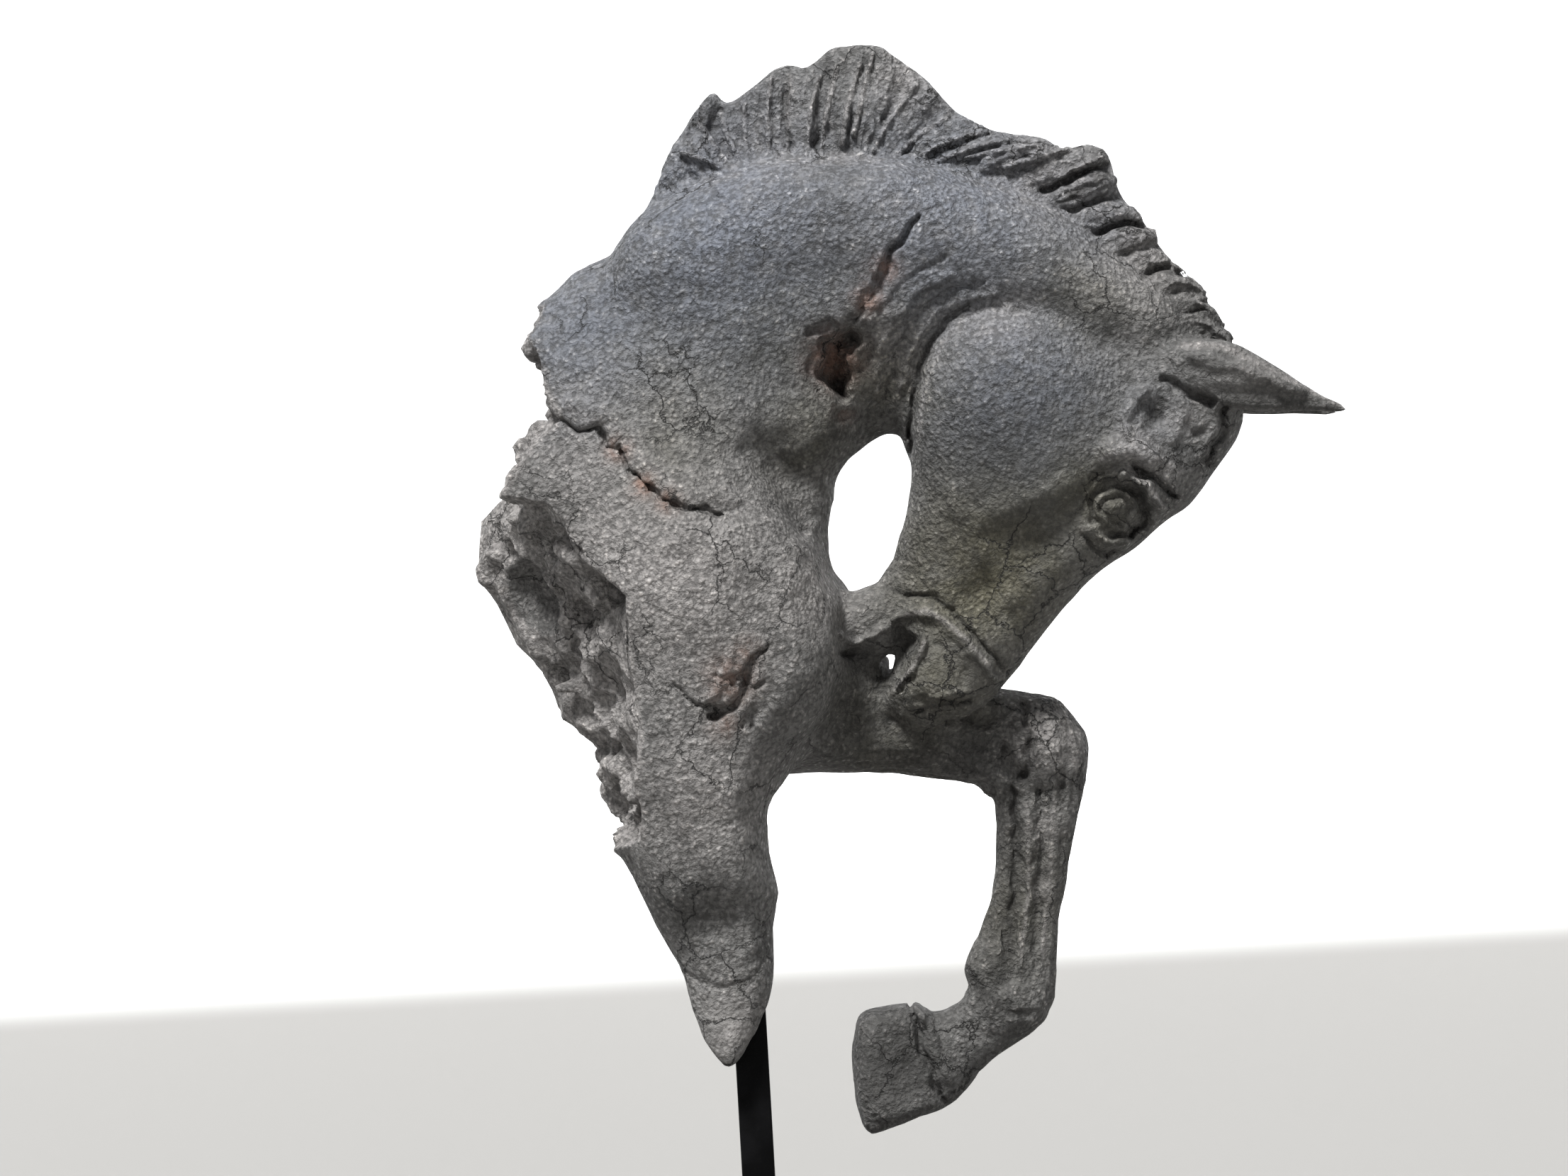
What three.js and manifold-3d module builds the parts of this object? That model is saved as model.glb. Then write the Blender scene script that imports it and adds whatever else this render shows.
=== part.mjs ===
// A weathered ceramic fragment of a horse on a square steel rod with a flat steel foot.
// Millimetres, +Z up, X to the viewer's right, Y away from the viewer, who sees the near side.
// The figure is one carved solid: swelled outlines and limbs that melt into each other.
import * as THREE from 'three';
import initManifold from 'manifold-3d';

// Driving dimensions, in millimetres and degrees.
const FIGURE_HEIGHT = 400;
const FIGURE_LEAN = 3.3;
const ROD_SIDE = 12;
const ROD_EDGE_ROUND = 0.8;
const ROD_SHOWING = 110;
const ROD_IN_FIGURE = 86;
const SOCKET_CLEARANCE = 0.3;
const FOOT_LENGTH = 200;
const FOOT_WIDTH = 140;
const FOOT_THICKNESS = 12;
const FOOT_CORNER = 4;
const FOOT_SOCKET_DEPTH = 8;
const ROD_LEFT_OF_CENTRE = 26;
const ROD_NEAR_OF_CENTRE = 6;

// The figure is drawn 400 units tall, so its pose and carving are shares of its own height.
const DRAWN_HEIGHT = 400;
const UNIT = FIGURE_HEIGHT / DRAWN_HEIGHT;
const ROD_PIVOT = { x: -10, y: -10, z: 30 };
const STUMP_TIP_Z = 28;

// How finely the figure is meshed, in drawn units, and how many triangles it keeps.
const CELL = 2.8;
const FIGURE_TRIANGLES = 9300;

const clamp = THREE.MathUtils.clamp;
const lerp = THREE.MathUtils.lerp;
const smoothstep = THREE.MathUtils.smoothstep;

// Smooth union and smooth cut of two distances; k is the width of the fillet between them.
function melt(a, b, k) {
  const h = Math.max(k - Math.abs(a - b), 0) / k;
  return Math.min(a, b) - h * h * k / 4;
}

function carve(a, b, k) {
  return -melt(-a, b, k);
}

// The sheets round an outline's corners off a little, and this gives the loss back.
const EDGE_GROWTH = 0.6;

// A sheet holds numbers over the side view (x, z) and is read between its points.
function makeSheet(box, cell, value) {
  const nx = Math.ceil((box.x1 - box.x0) / cell) + 1;
  const nz = Math.ceil((box.z1 - box.z0) / cell) + 1;
  const data = new Float32Array(nx * nz);
  for (let k = 0; k < nz; k++) {
    for (let i = 0; i < nx; i++) {
      data[k * nx + i] = value(box.x0 + i * cell, box.z0 + k * cell);
    }
  }
  return { box, cell, nx, nz, data };
}

function readSheet(sheet, x, z) {
  const u = clamp((x - sheet.box.x0) / sheet.cell, 0, sheet.nx - 1.001);
  const v = clamp((z - sheet.box.z0) / sheet.cell, 0, sheet.nz - 1.001);
  const i = Math.floor(u);
  const k = Math.floor(v);
  const at = k * sheet.nx + i;
  const low = lerp(sheet.data[at], sheet.data[at + 1], u - i);
  const high = lerp(sheet.data[at + sheet.nx], sheet.data[at + sheet.nx + 1], u - i);
  return lerp(low, high, v - k);
}

// A closed smooth curve through a few points of the side view, as a fine polygon.
function smoothOutline(points) {
  const curve = new THREE.CatmullRomCurve3(points.map(([x, z]) => new THREE.Vector3(x, 0, z)), true);
  return curve.getPoints(points.length * 6).slice(0, -1);
}

function distanceToOutline(polygon, x, z) {
  let best = Infinity;
  let inside = false;
  let a = polygon[polygon.length - 1];
  for (const b of polygon) {
    const ex = b.x - a.x;
    const ez = b.z - a.z;
    const t = clamp(((x - a.x) * ex + (z - a.z) * ez) / (ex * ex + ez * ez), 0, 1);
    best = Math.min(best, (x - a.x - t * ex) ** 2 + (z - a.z - t * ez) ** 2);
    if ((a.z > z) !== (b.z > z) && x < a.x + (z - a.z) / ez * ex) {
      inside = !inside;
    }
    a = b;
  }
  return inside ? -Math.sqrt(best) : Math.sqrt(best);
}

// Depths are given at a few stations [x, z, centre, half]; between them they flow smoothly.
function depthAt(stations, x, z) {
  let sum = 0;
  let centre = 0;
  let half = 0;
  for (const [sx, sz, sCentre, sHalf] of stations) {
    const weight = 1 / ((x - sx) ** 2 + (z - sz) ** 2 + 30) ** 1.6;
    sum += weight;
    centre += weight * sCentre;
    half += weight * sHalf;
  }
  return { centre: centre / sum, half: half / sum };
}

// Smooth away the creases of a sheet of distances that lie deep inside its outline.
function soften(sheet, deep, rounds) {
  const { nx, nz, data } = sheet;
  for (let round = 0; round < rounds; round++) {
    const before = Float32Array.from(data);
    for (let k = 1; k < nz - 1; k++) {
      for (let i = 1; i < nx - 1; i++) {
        const at = k * nx + i;
        if (before[at] < -deep) {
          data[at] = (before[at - 1] + before[at + 1] + before[at - nx] + before[at + nx]) / 4;
        }
      }
    }
  }
}

// An outline swelled to a rounded body: flat-sided where it is broad, thin where it is narrow.
function swell({ outline, round, stations }) {
  const polygon = smoothOutline(outline);
  const xs = polygon.map((p) => p.x);
  const zs = polygon.map((p) => p.z);
  const margin = 26;
  const box = {
    x0: Math.min(...xs) - margin, x1: Math.max(...xs) + margin,
    z0: Math.min(...zs) - margin, z1: Math.max(...zs) + margin,
  };
  const edge = makeSheet(box, 2, (x, z) => distanceToOutline(polygon, x, z));
  soften(edge, round * 0.3, 24);
  const centre = makeSheet(box, 4, (x, z) => depthAt(stations, x, z).centre);
  const half = makeSheet(box, 4, (x, z) => depthAt(stations, x, z).half);
  return (x, y, z) => {
    const beyond = Math.max(box.x0 - x, x - box.x1, box.z0 - z, z - box.z1);
    if (beyond > 0) {
      return beyond + margin * 0.7;
    }
    const depth = readSheet(half, x, z);
    const across = Math.max(readSheet(edge, x, z) + round - EDGE_GROWTH, 0);
    const through = (y - readSheet(centre, x, z)) * round / depth;
    return (Math.hypot(across, through) - round) * Math.min(1, depth / round);
  };
}

// A rounded limb through points [x, y, z, radius]; flat < 1 makes it thinner in Y.
function limb(points, flat = 1) {
  return (x, y, z) => {
    let best = Infinity;
    for (let i = 1; i < points.length; i++) {
      const [ax, ay, az, ar] = points[i - 1];
      const [bx, by, bz, br] = points[i];
      const ex = bx - ax;
      const ey = by - ay;
      const ez = bz - az;
      const along = ((x - ax) * ex + (y - ay) * ey + (z - az) * ez) / (ex * ex + ey * ey + ez * ez);
      const t = clamp(along, 0, 1);
      const off = Math.hypot(x - ax - t * ex, (y - ay - t * ey) / flat, z - az - t * ez);
      best = Math.min(best, off - lerp(ar, br, t));
    }
    return best * Math.min(1, flat);
  };
}

// An egg with half axes [along, through, across], tilted by a turn in the side view.
function egg([cx, cy, cz], [rx, ry, rz], turn = 0) {
  const c = Math.cos(THREE.MathUtils.degToRad(turn));
  const s = Math.sin(THREE.MathUtils.degToRad(turn));
  return (x, y, z) => {
    const dx = (x - cx) * c + (z - cz) * s;
    const dz = (z - cz) * c - (x - cx) * s;
    const dy = y - cy;
    const near = Math.hypot(dx / rx, dy / ry, dz / rz);
    const slope = Math.hypot(dx / rx ** 2, dy / ry ** 2, dz / rz ** 2) || 1;
    return near * (near - 1) / slope;
  };
}

// The masses of the body. Every outline point is [x, z] in drawn units.
const torso = swell({
  outline: [[-130, 262], [-90, 268], [-40, 262], [0, 250], [11, 238], [12.5, 223], [16, 208],
    [22, 196], [23, 183], [25, 172], [20, 161], [9, 146], [0, 134], [-20, 124], [-45, 112], [-75, 112],
    [-100, 150], [-130, 200]],
  round: 44,
  stations: [[-90, 225, 0, 40], [-30, 205, -9, 46], [12, 215, -4, 34], [15, 172, -8, 34],
    [-30, 140, -15, 32], [-80, 160, 0, 36], [-20, 250, 0, 38]],
});

const stump = swell({
  outline: [[-60, 150], [-40, 172], [-6, 160], [-1.5, 138], [-5.2, 122], [-4.5, 108], [-1.6, 90],
    [-2.5, 78], [-3, 60], [-6, 48], [-12, 35], [-18, 28], [-23.5, 33], [-31, 48], [-35, 61], [-46, 82],
    [-56, 103], [-66, 125]],
  round: 17,
  stations: [[-30, 140, -22, 27], [-30, 105, -20, 23], [-20, 70, -15, 18], [-17, 48, -17, 15],
    [-17, 36, -24, 8], [-18, 28, -26, 6]],
});

const neck = swell({
  outline: [[-104, 262], [-106, 285], [-96, 298], [-84, 307.5], [-74, 317], [-62, 322], [-54, 332],
    [-45, 343], [-30, 352], [-10, 360], [14, 362], [42, 360], [64, 356], [86, 350], [106, 339],
    [126, 324], [143, 310], [156, 297], [158, 284], [140, 272], [110, 268], [80, 268], [60, 262],
    [50, 252], [45, 257], [38, 257.5], [29, 252], [17.5, 242], [12, 229], [5, 212], [-15, 200],
    [-55, 200], [-92, 225]],
  round: 46,
  stations: [[-75, 285, 0, 33], [-30, 300, 0, 37], [30, 315, 0, 33], [85, 325, 0, 27],
    [135, 305, 0, 21], [-40, 230, -4, 41], [8, 255, 0, 27], [42, 265, 0, 20], [70, 285, 0, 21]],
});

const head = swell({
  outline: [[49.5, 247], [50, 262], [53, 277], [60, 293], [72, 302], [88, 305], [104, 303], [122, 298],
    [140, 297], [156, 291], [166, 281], [169.5, 265], [167, 256], [159, 244], [150, 232], [141, 226],
    [130, 216], [119, 209], [108, 199], [98, 187], [86, 171], [77, 160], [68, 153], [56, 152],
    [46, 157], [41, 164], [42.5, 171.5], [42.6, 177.6], [38.4, 176.8], [34.2, 172.8], [26, 172],
    [20, 178], [18, 187], [22, 195], [30, 197.5], [38, 201.5], [42.5, 211], [46.5, 226]],
  round: 22,
  stations: [[82, 270, -3, 30], [62, 250, -2, 23], [125, 258, 0, 26], [123, 228, 0, 24],
    [152, 262, 0, 22], [98, 215, 0, 21], [72, 190, 3, 18], [60, 166, 3, 17], [30, 186, 3, 12],
    [122, 288, 0, 23], [95, 245, -1, 25]],
});

const farForeleg = swell({
  outline: [[-14, 172], [22, 173.5], [36, 171.8], [46, 167], [70, 160], [80, 163], [92, 160.8],
    [101, 159], [107.5, 152], [113, 144.5], [113, 132], [110, 117], [106.5, 101], [103.5, 82],
    [101.5, 62], [100, 47], [97, 41], [86, 32.5], [75, 24], [66, 13], [52, 8], [42, 20], [48, 44],
    [59, 43.5], [66, 47], [70.5, 53], [69, 60], [75, 73], [80, 88], [81.5, 105], [81, 120], [76, 127],
    [66, 130], [50, 132.5], [10, 134.8], [-14, 136]],
  round: 11,
  stations: [[5, 152, 16, 27], [50, 148, 21, 19], [75, 146, 23, 15], [98, 147, 23, 15.5],
    [96, 118, 23, 11], [92, 85, 23, 9.5], [86, 62, 23, 11], [84, 46, 23, 14], [68, 32, 22, 11],
    [48, 25, 22, 14]],
});

const hoof = swell({
  outline: [[28.5, 36], [30, 42.5], [38, 45.5], [46, 46.5], [52, 46.5], [54, 34], [58, 20], [60.5, 11],
    [50, 5.5], [40, 1.5], [33, 0], [30.5, 5], [28.5, 18], [28, 28]],
  round: 4,
  stations: [[30, 22, 22, 17.5], [52, 28, 22, 14]],
});

const maneFin = swell({
  outline: [[-47, 338], [-43.5, 352], [-36, 368], [-29, 379], [-24, 382.5], [-19.5, 379], [-9, 386],
    [1, 392], [10, 392], [18, 398.5], [27, 400.5], [37, 400], [46, 393], [56, 385], [66, 375],
    [82, 367.5], [97, 365.5], [103, 361.5], [113, 363], [119.5, 360], [124.5, 346], [132, 338],
    [140, 325], [146.5, 317], [152.5, 310.5], [159.5, 301.5], [165, 289.5], [158, 284], [140, 300],
    [118, 318], [90, 334], [55, 344], [20, 348], [-20, 342]],
  round: 7,
  stations: [[-30, 352, 0, 10], [-28, 378, 0, 5], [20, 366, 0, 11], [25, 399, 0, 5], [80, 354, 0, 10],
    [70, 372, 0, 6], [108, 348, 0, 10], [128, 334, 0, 9], [154, 302, 0, 11]],
});

// An ear on either side, pointing forward, hollow below.
function ear(side) {
  const shell = swell({
    outline: [[140, 286], [148, 290.5], [158, 291], [166, 289], [176, 283.5], [186, 277.2], [196, 271],
      [206, 266], [192, 266], [180, 265.8], [169, 266.3], [157, 268.5], [147, 275]],
    round: 8,
    stations: [[148, 283, 17 * side, 10], [172, 277, 19 * side, 9], [203, 267, 19 * side, 3]],
  });
  const hollow = limb([[156, 28 * side, 271, 3.6], [178, 28 * side, 270, 3.4],
    [192, 24 * side, 268.5, 1.6]]);
  return (x, y, z) => carve(shell(x, y, z), hollow(x, y, z), 2);
}

const nearEar = ear(-1);
const farEar = ear(1);

// Muscles and bones that swell the masses: [shape, fillet].
const swellings = [
  [egg([-26, -34, 198], [38, 24, 42], 35), 20],
  [egg([-6, -32, 170], [22, 19, 26], -10), 14],
  [egg([-32, -28, 128], [17, 19, 34], 12), 12],
  [egg([2, 24, 176], [30, 22, 34], 0), 20],
  [egg([18, 22, 155], [36, 19, 16], 0), 10],
  [limb([[-40, -20, 318, 18], [0, -20, 333, 17], [40, -19, 336, 16], [90, -16, 322, 13], [134, -12, 298,
    9]]), 12],
  [limb([[-60, -14, 270, 22], [-20, -18, 262, 20], [6, -14, 262, 12]]), 16],
  [egg([96, 23, 144], [13.5, 16.5, 15], 0), 7],
  [egg([84, 23, 47], [12, 13.5, 10], 30), 6],
  [limb([[20, 20, 160, 9], [56, 16, 150, 8], [84, 18, 150, 6]]), 8],
];

const headSwellings = [
  [egg([85, -12, 266], [36, 24, 38], 20), 12],
  [egg([85, 10, 266], [36, 24, 38], 20), 12],
  [egg([126, 0, 252], [17, 27, 12], 60), 9],
  [egg([136, 0, 240], [11, 23, 8], 50), 6],
  [limb([[66, -4, 182, 12], [60, -4, 168, 12], [52, -1, 161, 9]]), 6],
  [egg([30, 4, 188], [9, 13, 10.5], 30), 5],
  [limb([[36, 5, 189, 8], [52, 3, 204, 8], [64, 1, 226, 9]]), 8],
];

// Relief drawn on the side view. A stroke is a path of [x, z, half width]; depth < 0 raises it.
function pathDistance(path, x, z) {
  let best = Infinity;
  for (let i = 1; i < path.length; i++) {
    const [ax, az, aw] = path[i - 1];
    const [bx, bz, bw] = path[i];
    const ex = bx - ax;
    const ez = bz - az;
    const t = clamp(((x - ax) * ex + (z - az) * ez) / (ex * ex + ez * ez || 1), 0, 1);
    const width = Math.max(lerp(aw, bw, t), 0.1);
    best = Math.min(best, Math.hypot(x - ax - t * ex, z - az - t * ez) / width);
  }
  return best;
}

// Profiles across a stroke: soft has a wide foot, full is round like a lock of hair.
const PROFILES = {
  soft: (t) => (t < 1 ? (1 - t * t) ** 2 : 0),
  full: (t) => (t < 1 ? Math.sqrt(1 - t * t) : 0),
};

function stroke(path, depth, profile = 'soft') {
  const reach = Math.max(...path.map((p) => p[2])) + 1;
  const box = {
    x0: Math.min(...path.map((p) => p[0])) - reach, x1: Math.max(...path.map((p) => p[0])) + reach,
    z0: Math.min(...path.map((p) => p[1])) - reach, z1: Math.max(...path.map((p) => p[1])) + reach,
  };
  return (x, z) => {
    if (x < box.x0 || x > box.x1 || z < box.z0 || z > box.z1) {
      return 0;
    }
    return depth * PROFILES[profile](pathDistance(path, x, z));
  };
}

const dot = (x, z, width, depth, profile) => stroke([[x, z, width], [x + 0.1, z, width]], depth, profile);

// A stroke all round a circle.
function ring(x, z, radius, width, depth) {
  const turns = Array.from({ length: 17 }, (_, k) => Math.PI * 2 * k / 16);
  return stroke(turns.map((t) => [x + radius * Math.cos(t), z + radius * Math.sin(t), width]), depth);
}

// Locks of the mane: root, bend and tip in the side view, with the half width at the root.
const LOCKS = [
  [[-42, 340], [-43, 350], [-37, 364], 5],
  [[-33, 344], [-39, 356], [-33, 372], 5],
  [[-22, 349], [-30, 362], [-27, 379], 6],
  [[-12, 354], [-17, 368], [-21, 378], 4.5],
  [[-8, 356], [-11, 372], [-10, 385], 4],
  [[-2, 358], [-4, 374], [-2, 389], 4],
  [[9, 359], [8, 376], [9, 391], 4.5],
  [[21, 359], [22, 378], [27, 398], 5],
  [[30, 359], [33, 377], [38, 397], 5.5],
  [[38, 359], [46, 372], [57, 382], 5],
  [[48, 357], [60, 366], [72, 371], 4.5],
  [[60, 359], [74, 364], [90, 366], 4.5],
  [[76, 356], [89, 360.5], [102, 361], 4.5],
  [[91, 350], [103, 356], [117, 360], 5],
  [[101, 343], [111, 347], [120, 350], 4],
  [[110, 335], [120, 338], [130, 338], 4],
  [[118, 325], [128, 329], [136, 330], 4],
  [[126, 318], [134, 322], [141, 321], 3.5],
  [[136, 311], [146, 314], [155, 310], 4.5],
  [[142, 305], [153, 306], [162, 299], 4.5],
  [[147, 299], [157, 299], [165, 291], 4],
];

// Every lock stands a little higher or lower than the next, in turn.
const LOCK_LIFTS = [0.5, 0.2, 0.6, 0.3, 0.4, 0.15, 0.35, 0.25, 0.6, 0.3, 0.55, 0.3, 0.7, 0.5, 0.9, 0.45,
  1.0, 0.4, 0.95, 0.5, 0.8];
const LOCK_GAPS = [0.5, 1.4, 0.3, 0.8, 0.4, 1.1, 0.5, 0.3, 0.9, 1.4, 0.5, 1.2, 0.6, 3.4, 1.2, 3.0, 0.8, 2.6,
  1.0, 1.4];

function lockRelief(x, z) {
  let height = 0;
  LOCKS.forEach(([root, bend, tip, width], number) => {
    const path = [[...root, width * 0.9], [...bend, width * 1.3], [...tip, width * 0.9]];
    const share = PROFILES.full(pathDistance(path, x, z));
    height = Math.max(height, share * (0.8 + width * 0.4 * LOCK_LIFTS[number]));
  });
  LOCKS.slice(1).forEach((other, number) => {
    const one = LOCKS[number];
    const path = [1.6, 2.5, 1.5].map((width, k) => [
      (one[k][0] + other[k][0]) / 2, (one[k][1] + other[k][1]) / 2, width]);
    height -= LOCK_GAPS[number] * PROFILES.soft(pathDistance(path, x, z));
  });
  return -height;
}

// Carving that both sides share: face, ears' folds, tendons, knee and hoof.
const carvedStrokes = [
  dot(122, 230, 14, 3.6),
  dot(121.8, 229.8, 9.0, -5.6),
  ring(121.8, 229.8, 4.6, 1.2, 1.5),
  ring(121.8, 229.8, 6.9, 1.4, -1.4),
  ring(122.2, 229.6, 9.4, 1.7, 1.6),
  dot(121.8, 229.8, 1.9, -0.9),
  stroke([[126, 240.5, 1.6], [132.5, 233, 2.6], [133, 224, 2.8], [127, 219.5, 1.4]], 3.0),
  stroke([[124, 241.5, 2.2], [132, 238, 3], [139.5, 229.5, 2.4]], -4.0),
  stroke([[128, 245.5, 1.6], [136, 240.5, 2.2], [143.5, 234, 1.8]], 3.2),
  stroke([[115, 223, 2.4], [119, 218.6, 3.4], [126, 216.5, 2.6]], -2.4),
  stroke([[110, 220.5, 1.4], [114, 215.5, 1.9], [119, 213, 1.9], [124, 214.5, 1.3]], 2.0),
  stroke([[110, 236, 1.4], [114, 242, 1.8], [121, 244, 1.4]], 1.4),
  stroke([[119, 250, 6], [127, 251.5, 8.5], [135, 248, 6]], -3.6),
  dot(136, 264, 7.5, 4.0),
  stroke([[126, 257, 2.6], [126, 266, 3.6], [132, 273, 3.4]], -2.2),
  stroke([[143, 256, 3], [147, 263, 3.6], [146, 271, 3]], -2.0),
  dot(152.4, 257, 4, 2),
  stroke([[159, 268, 2], [158, 257, 2.4], [153, 249, 2]], -1.4),
  stroke([[162, 267, 1.5], [161, 257, 1.9], [154, 248, 1.4], [160, 243, 1]], 2.2),
  stroke([[104, 238, 7], [90, 232, 10], [74, 226, 7]], -1.6),
  stroke([[107, 231, 7], [95, 220, 12], [82, 208, 12], [70, 197, 8]], 2.0),
  stroke([[62, 236, 5], [72, 218, 6], [84, 196, 5]], -1.2),
  stroke([[38.5, 166.5, 1.8], [41, 171, 2.8], [46, 181, 5], [43.5, 184.5, 3.6]], 2.4),
  stroke([[23, 177, 2.2], [29, 176, 2.8], [34, 177, 2.2]], 2.2),
  stroke([[22, 184, 2], [27, 181, 2.4], [35, 183, 2.6], [41, 188, 2.2]], -1.6),
  stroke([[53, 183, 1.6], [49.5, 174, 2.2], [41.5, 163, 1.4]], -2.4),
  stroke([[42, 189, 2], [49, 192.5, 3], [56, 192, 3.6], [64, 185, 3.4], [72, 177, 3], [78.5, 168, 2]],
    -2.8),
  stroke([[36, 203, 1.2], [46, 198.5, 1.6], [57, 197.5, 1.6], [66, 189.5, 1.3], [76, 178, 1.3], [82,
    171, 1]], 1.9),
  stroke([[58, 181, 3], [64, 174, 4], [68, 165, 3]], 1.4),
  stroke([[49, 156, 1.2], [58, 158, 1.6], [70, 160.8, 1.2]], 1.6),
  stroke([[52, 160, 1.4], [60, 162, 1.8], [69, 163.5, 1.2]], -1.0),
  stroke([[86, 128, 2], [87.5, 112, 3.6], [87.5, 90, 3.8], [84, 66, 3]], 2.4),
  stroke([[96, 126, 2], [96, 96, 2.6], [94, 62, 2]], 1.6),
  stroke([[92, 122, 2], [92.5, 90, 2.2], [89, 62, 2]], -1.0),
  stroke([[83, 143, 3], [84, 136, 5], [89, 131, 3]], 2.6),
  stroke([[89, 158, 2], [93, 146, 3], [90, 132, 2]], 2.2),
  stroke([[104, 150, 3], [106, 140, 4], [104, 128, 3]], 1.2),
  stroke([[30, 158, 5], [52, 153, 6], [76, 153, 4]], 1.5),
  stroke([[78, 57, 3], [82, 46, 4], [92, 44, 3]], 1.2),
  stroke([[49, 46, 1.8], [52, 32, 2], [57, 20, 1.8], [61, 11, 1.6]], 1.8),
  stroke([[54, 44, 2.6], [57, 32, 3], [62, 20, 2.4]], -1.4),
  stroke([[150, 285, 4], [166, 281, 4.4], [190, 272, 2.6]], -1.8),
  stroke([[140, 277, 2.4], [149, 271, 2.8], [158, 268.5, 2]], 2.6),
];

// Folds and damage on the near side only: throat, crack with its step, hole, gouges and chips.
const crackPath = [[-80, 262, 1.1], [-72, 257.5, 1.6], [-66, 259, 1.3], [-61, 252.5, 1.9],
  [-57, 250, 1.5], [-54, 243, 2.1], [-50, 239.5, 1.6], [-46, 236.5, 2.2], [-43, 232, 1.5],
  [-37, 231.5, 2.1], [-33, 228, 1.4], [-26, 229.5, 1.6], [-20, 227, 0.9]];
const nearStrokes = [
  stroke([[40.5, 169, 1.8], [46.5, 181, 4.6], [43.5, 185, 3.4]], 4.2),
  stroke([[24, 177, 2], [31, 177, 2.6]], 1.6),
  stroke([[47.5, 250, 1.4], [48, 263, 1.7], [50, 276, 1.9], [54, 288, 1.9], [60.5, 298, 1.7], [69, 304,
    1.4]], 1.7),
  stroke([[78, 307, 2], [66, 306, 2.4], [55, 299, 2.4], [48, 288, 2.4], [44.5, 274, 2.2]], -1.4),
  stroke([[74, 312, 1.4], [60, 308, 1.7], [49, 299, 1.9], [42.5, 286, 1.9], [39.5, 271, 1.5]], 1.3),
  stroke([[62, 315, 1.8], [50, 309, 2.2], [41, 298, 2.4], [36.5, 285, 2.2], [35, 272, 1.6]], -1.2),
  stroke([[60, 320, 1.4], [46, 313, 1.8], [36, 300, 2], [31.5, 286, 1.7]], 1.0),
  stroke([[28, 286, 1.5], [36, 284, 2], [45, 277, 1.4]], 1.0),
  stroke(crackPath, 3.2),
  stroke(crackPath.map(([x, z, w]) => [x + 4, z + 6, w * 3.6]), -2.2),
  stroke([[50, 336, 1.4], [46, 329, 2.6], [40, 322, 2.4], [37, 312, 3.6], [30, 303, 2.8], [26, 297,
    3.2]], 3.2),
  stroke([[26, 292, 5], [20, 288, 7], [19.5, 280, 8], [22, 273, 5]], 13),
  stroke([[30, 296, 2.4], [34, 288, 2.8], [29, 280, 2.4]], 2.2),
  stroke([[11, 293, 2.6], [19, 296, 3.2], [30, 292, 2.4]], 2.6),
  stroke([[12, 284, 2], [11, 276, 2.4], [15, 270, 1.6]], 1.4),
  dot(23, 264, 4.5, 2.2),
  stroke([[-4, 180, 1.2], [-9, 176, 2.4], [-12, 170, 3.0], [-13, 164, 2.4], [-18, 158, 3.4], [-25, 155,
    1.6]], 3.2),
  stroke([[-6, 168, 1.2], [-12, 164, 2.0], [-10, 157, 1.8], [-13, 151, 1.2]], 1.5),
  stroke([[-22, 170, 2.2], [-17, 167, 3.0], [-12, 171, 2.4]], 1.0),
  stroke([[-18, 176, 2.4], [-21, 166, 3.0], [-27, 159, 2.0]], -1.3),
  stroke([[-12, 168, 2], [-8, 160, 2.6], [-10, 152, 1.4]], 1.6),
  stroke([[-37, 166, 1], [-30, 159, 1.5], [-22, 158, 1]], 1.6),
  stroke([[0, 196, 10], [8, 176, 9], [2, 158, 7]], -1.8),
  stroke([[-6, 252, 12], [3, 236, 13], [6, 222, 8]], 2.6),
  stroke([[-30, 250, 14], [-10, 240, 10], [4, 214, 8]], -2.0),
  stroke([[-34, 222, 12], [-14, 216, 13], [4, 204, 9]], -2.0),
  stroke([[-44, 122, 5], [-32, 100, 8], [-22, 78, 6]], 0.9),
  stroke([[-18, 128, 6], [-12, 100, 7], [-10, 70, 5]], -1.4),
  stroke([[-34, 62, 0.8], [-24, 56, 1.2], [-10, 60, 1.1], [-4, 68, 0.8]], 0.7),
];

const REACH = { x0: -112, x1: 210, z0: -6, z1: 408 };
const maneSheet = makeSheet(REACH, 1, lockRelief);
const carvedSheet = makeSheet(REACH, 1, (x, z) => carvedStrokes.reduce((sum, s) => sum + s(x, z), 0));
const nearSheet = makeSheet(REACH, 1, (x, z) => nearStrokes.reduce((sum, s) => sum + s(x, z), 0));

// The break on the left: pairs [z, x] along the near skin and along the far rim.
const BREAK_NEAR = [[102, -75], [110, -50], [130, -51], [150, -50], [172, -54], [198, -55], [204, -62],
  [212, -71], [224, -77], [231, -84], [235, -99], [244, -94], [254, -89], [262, -79], [270, -83],
  [278, -89], [290, -95], [300, -97], [312, -100]];
const BREAK_FAR = [[101, -75], [107, -60], [125, -65], [133, -67], [143, -67], [147, -75],
  [153, -79.5], [171, -86.5], [181, -97], [195, -105], [203, -110.5], [226, -111], [234, -100],
  [252, -90], [262, -77], [278, -80], [300, -82], [312, -88]];
const BREAK_NEAR_Y = -44;
const BREAK_FAR_Y = 30;

function alongPairs(pairs, z) {
  if (z <= pairs[0][0]) {
    return pairs[0][1];
  }
  for (let i = 1; i < pairs.length; i++) {
    if (z <= pairs[i][0]) {
      return lerp(pairs[i - 1][1], pairs[i][1], (z - pairs[i - 1][0]) / (pairs[i][0] - pairs[i - 1][0]));
    }
  }
  return pairs[pairs.length - 1][1];
}

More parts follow.
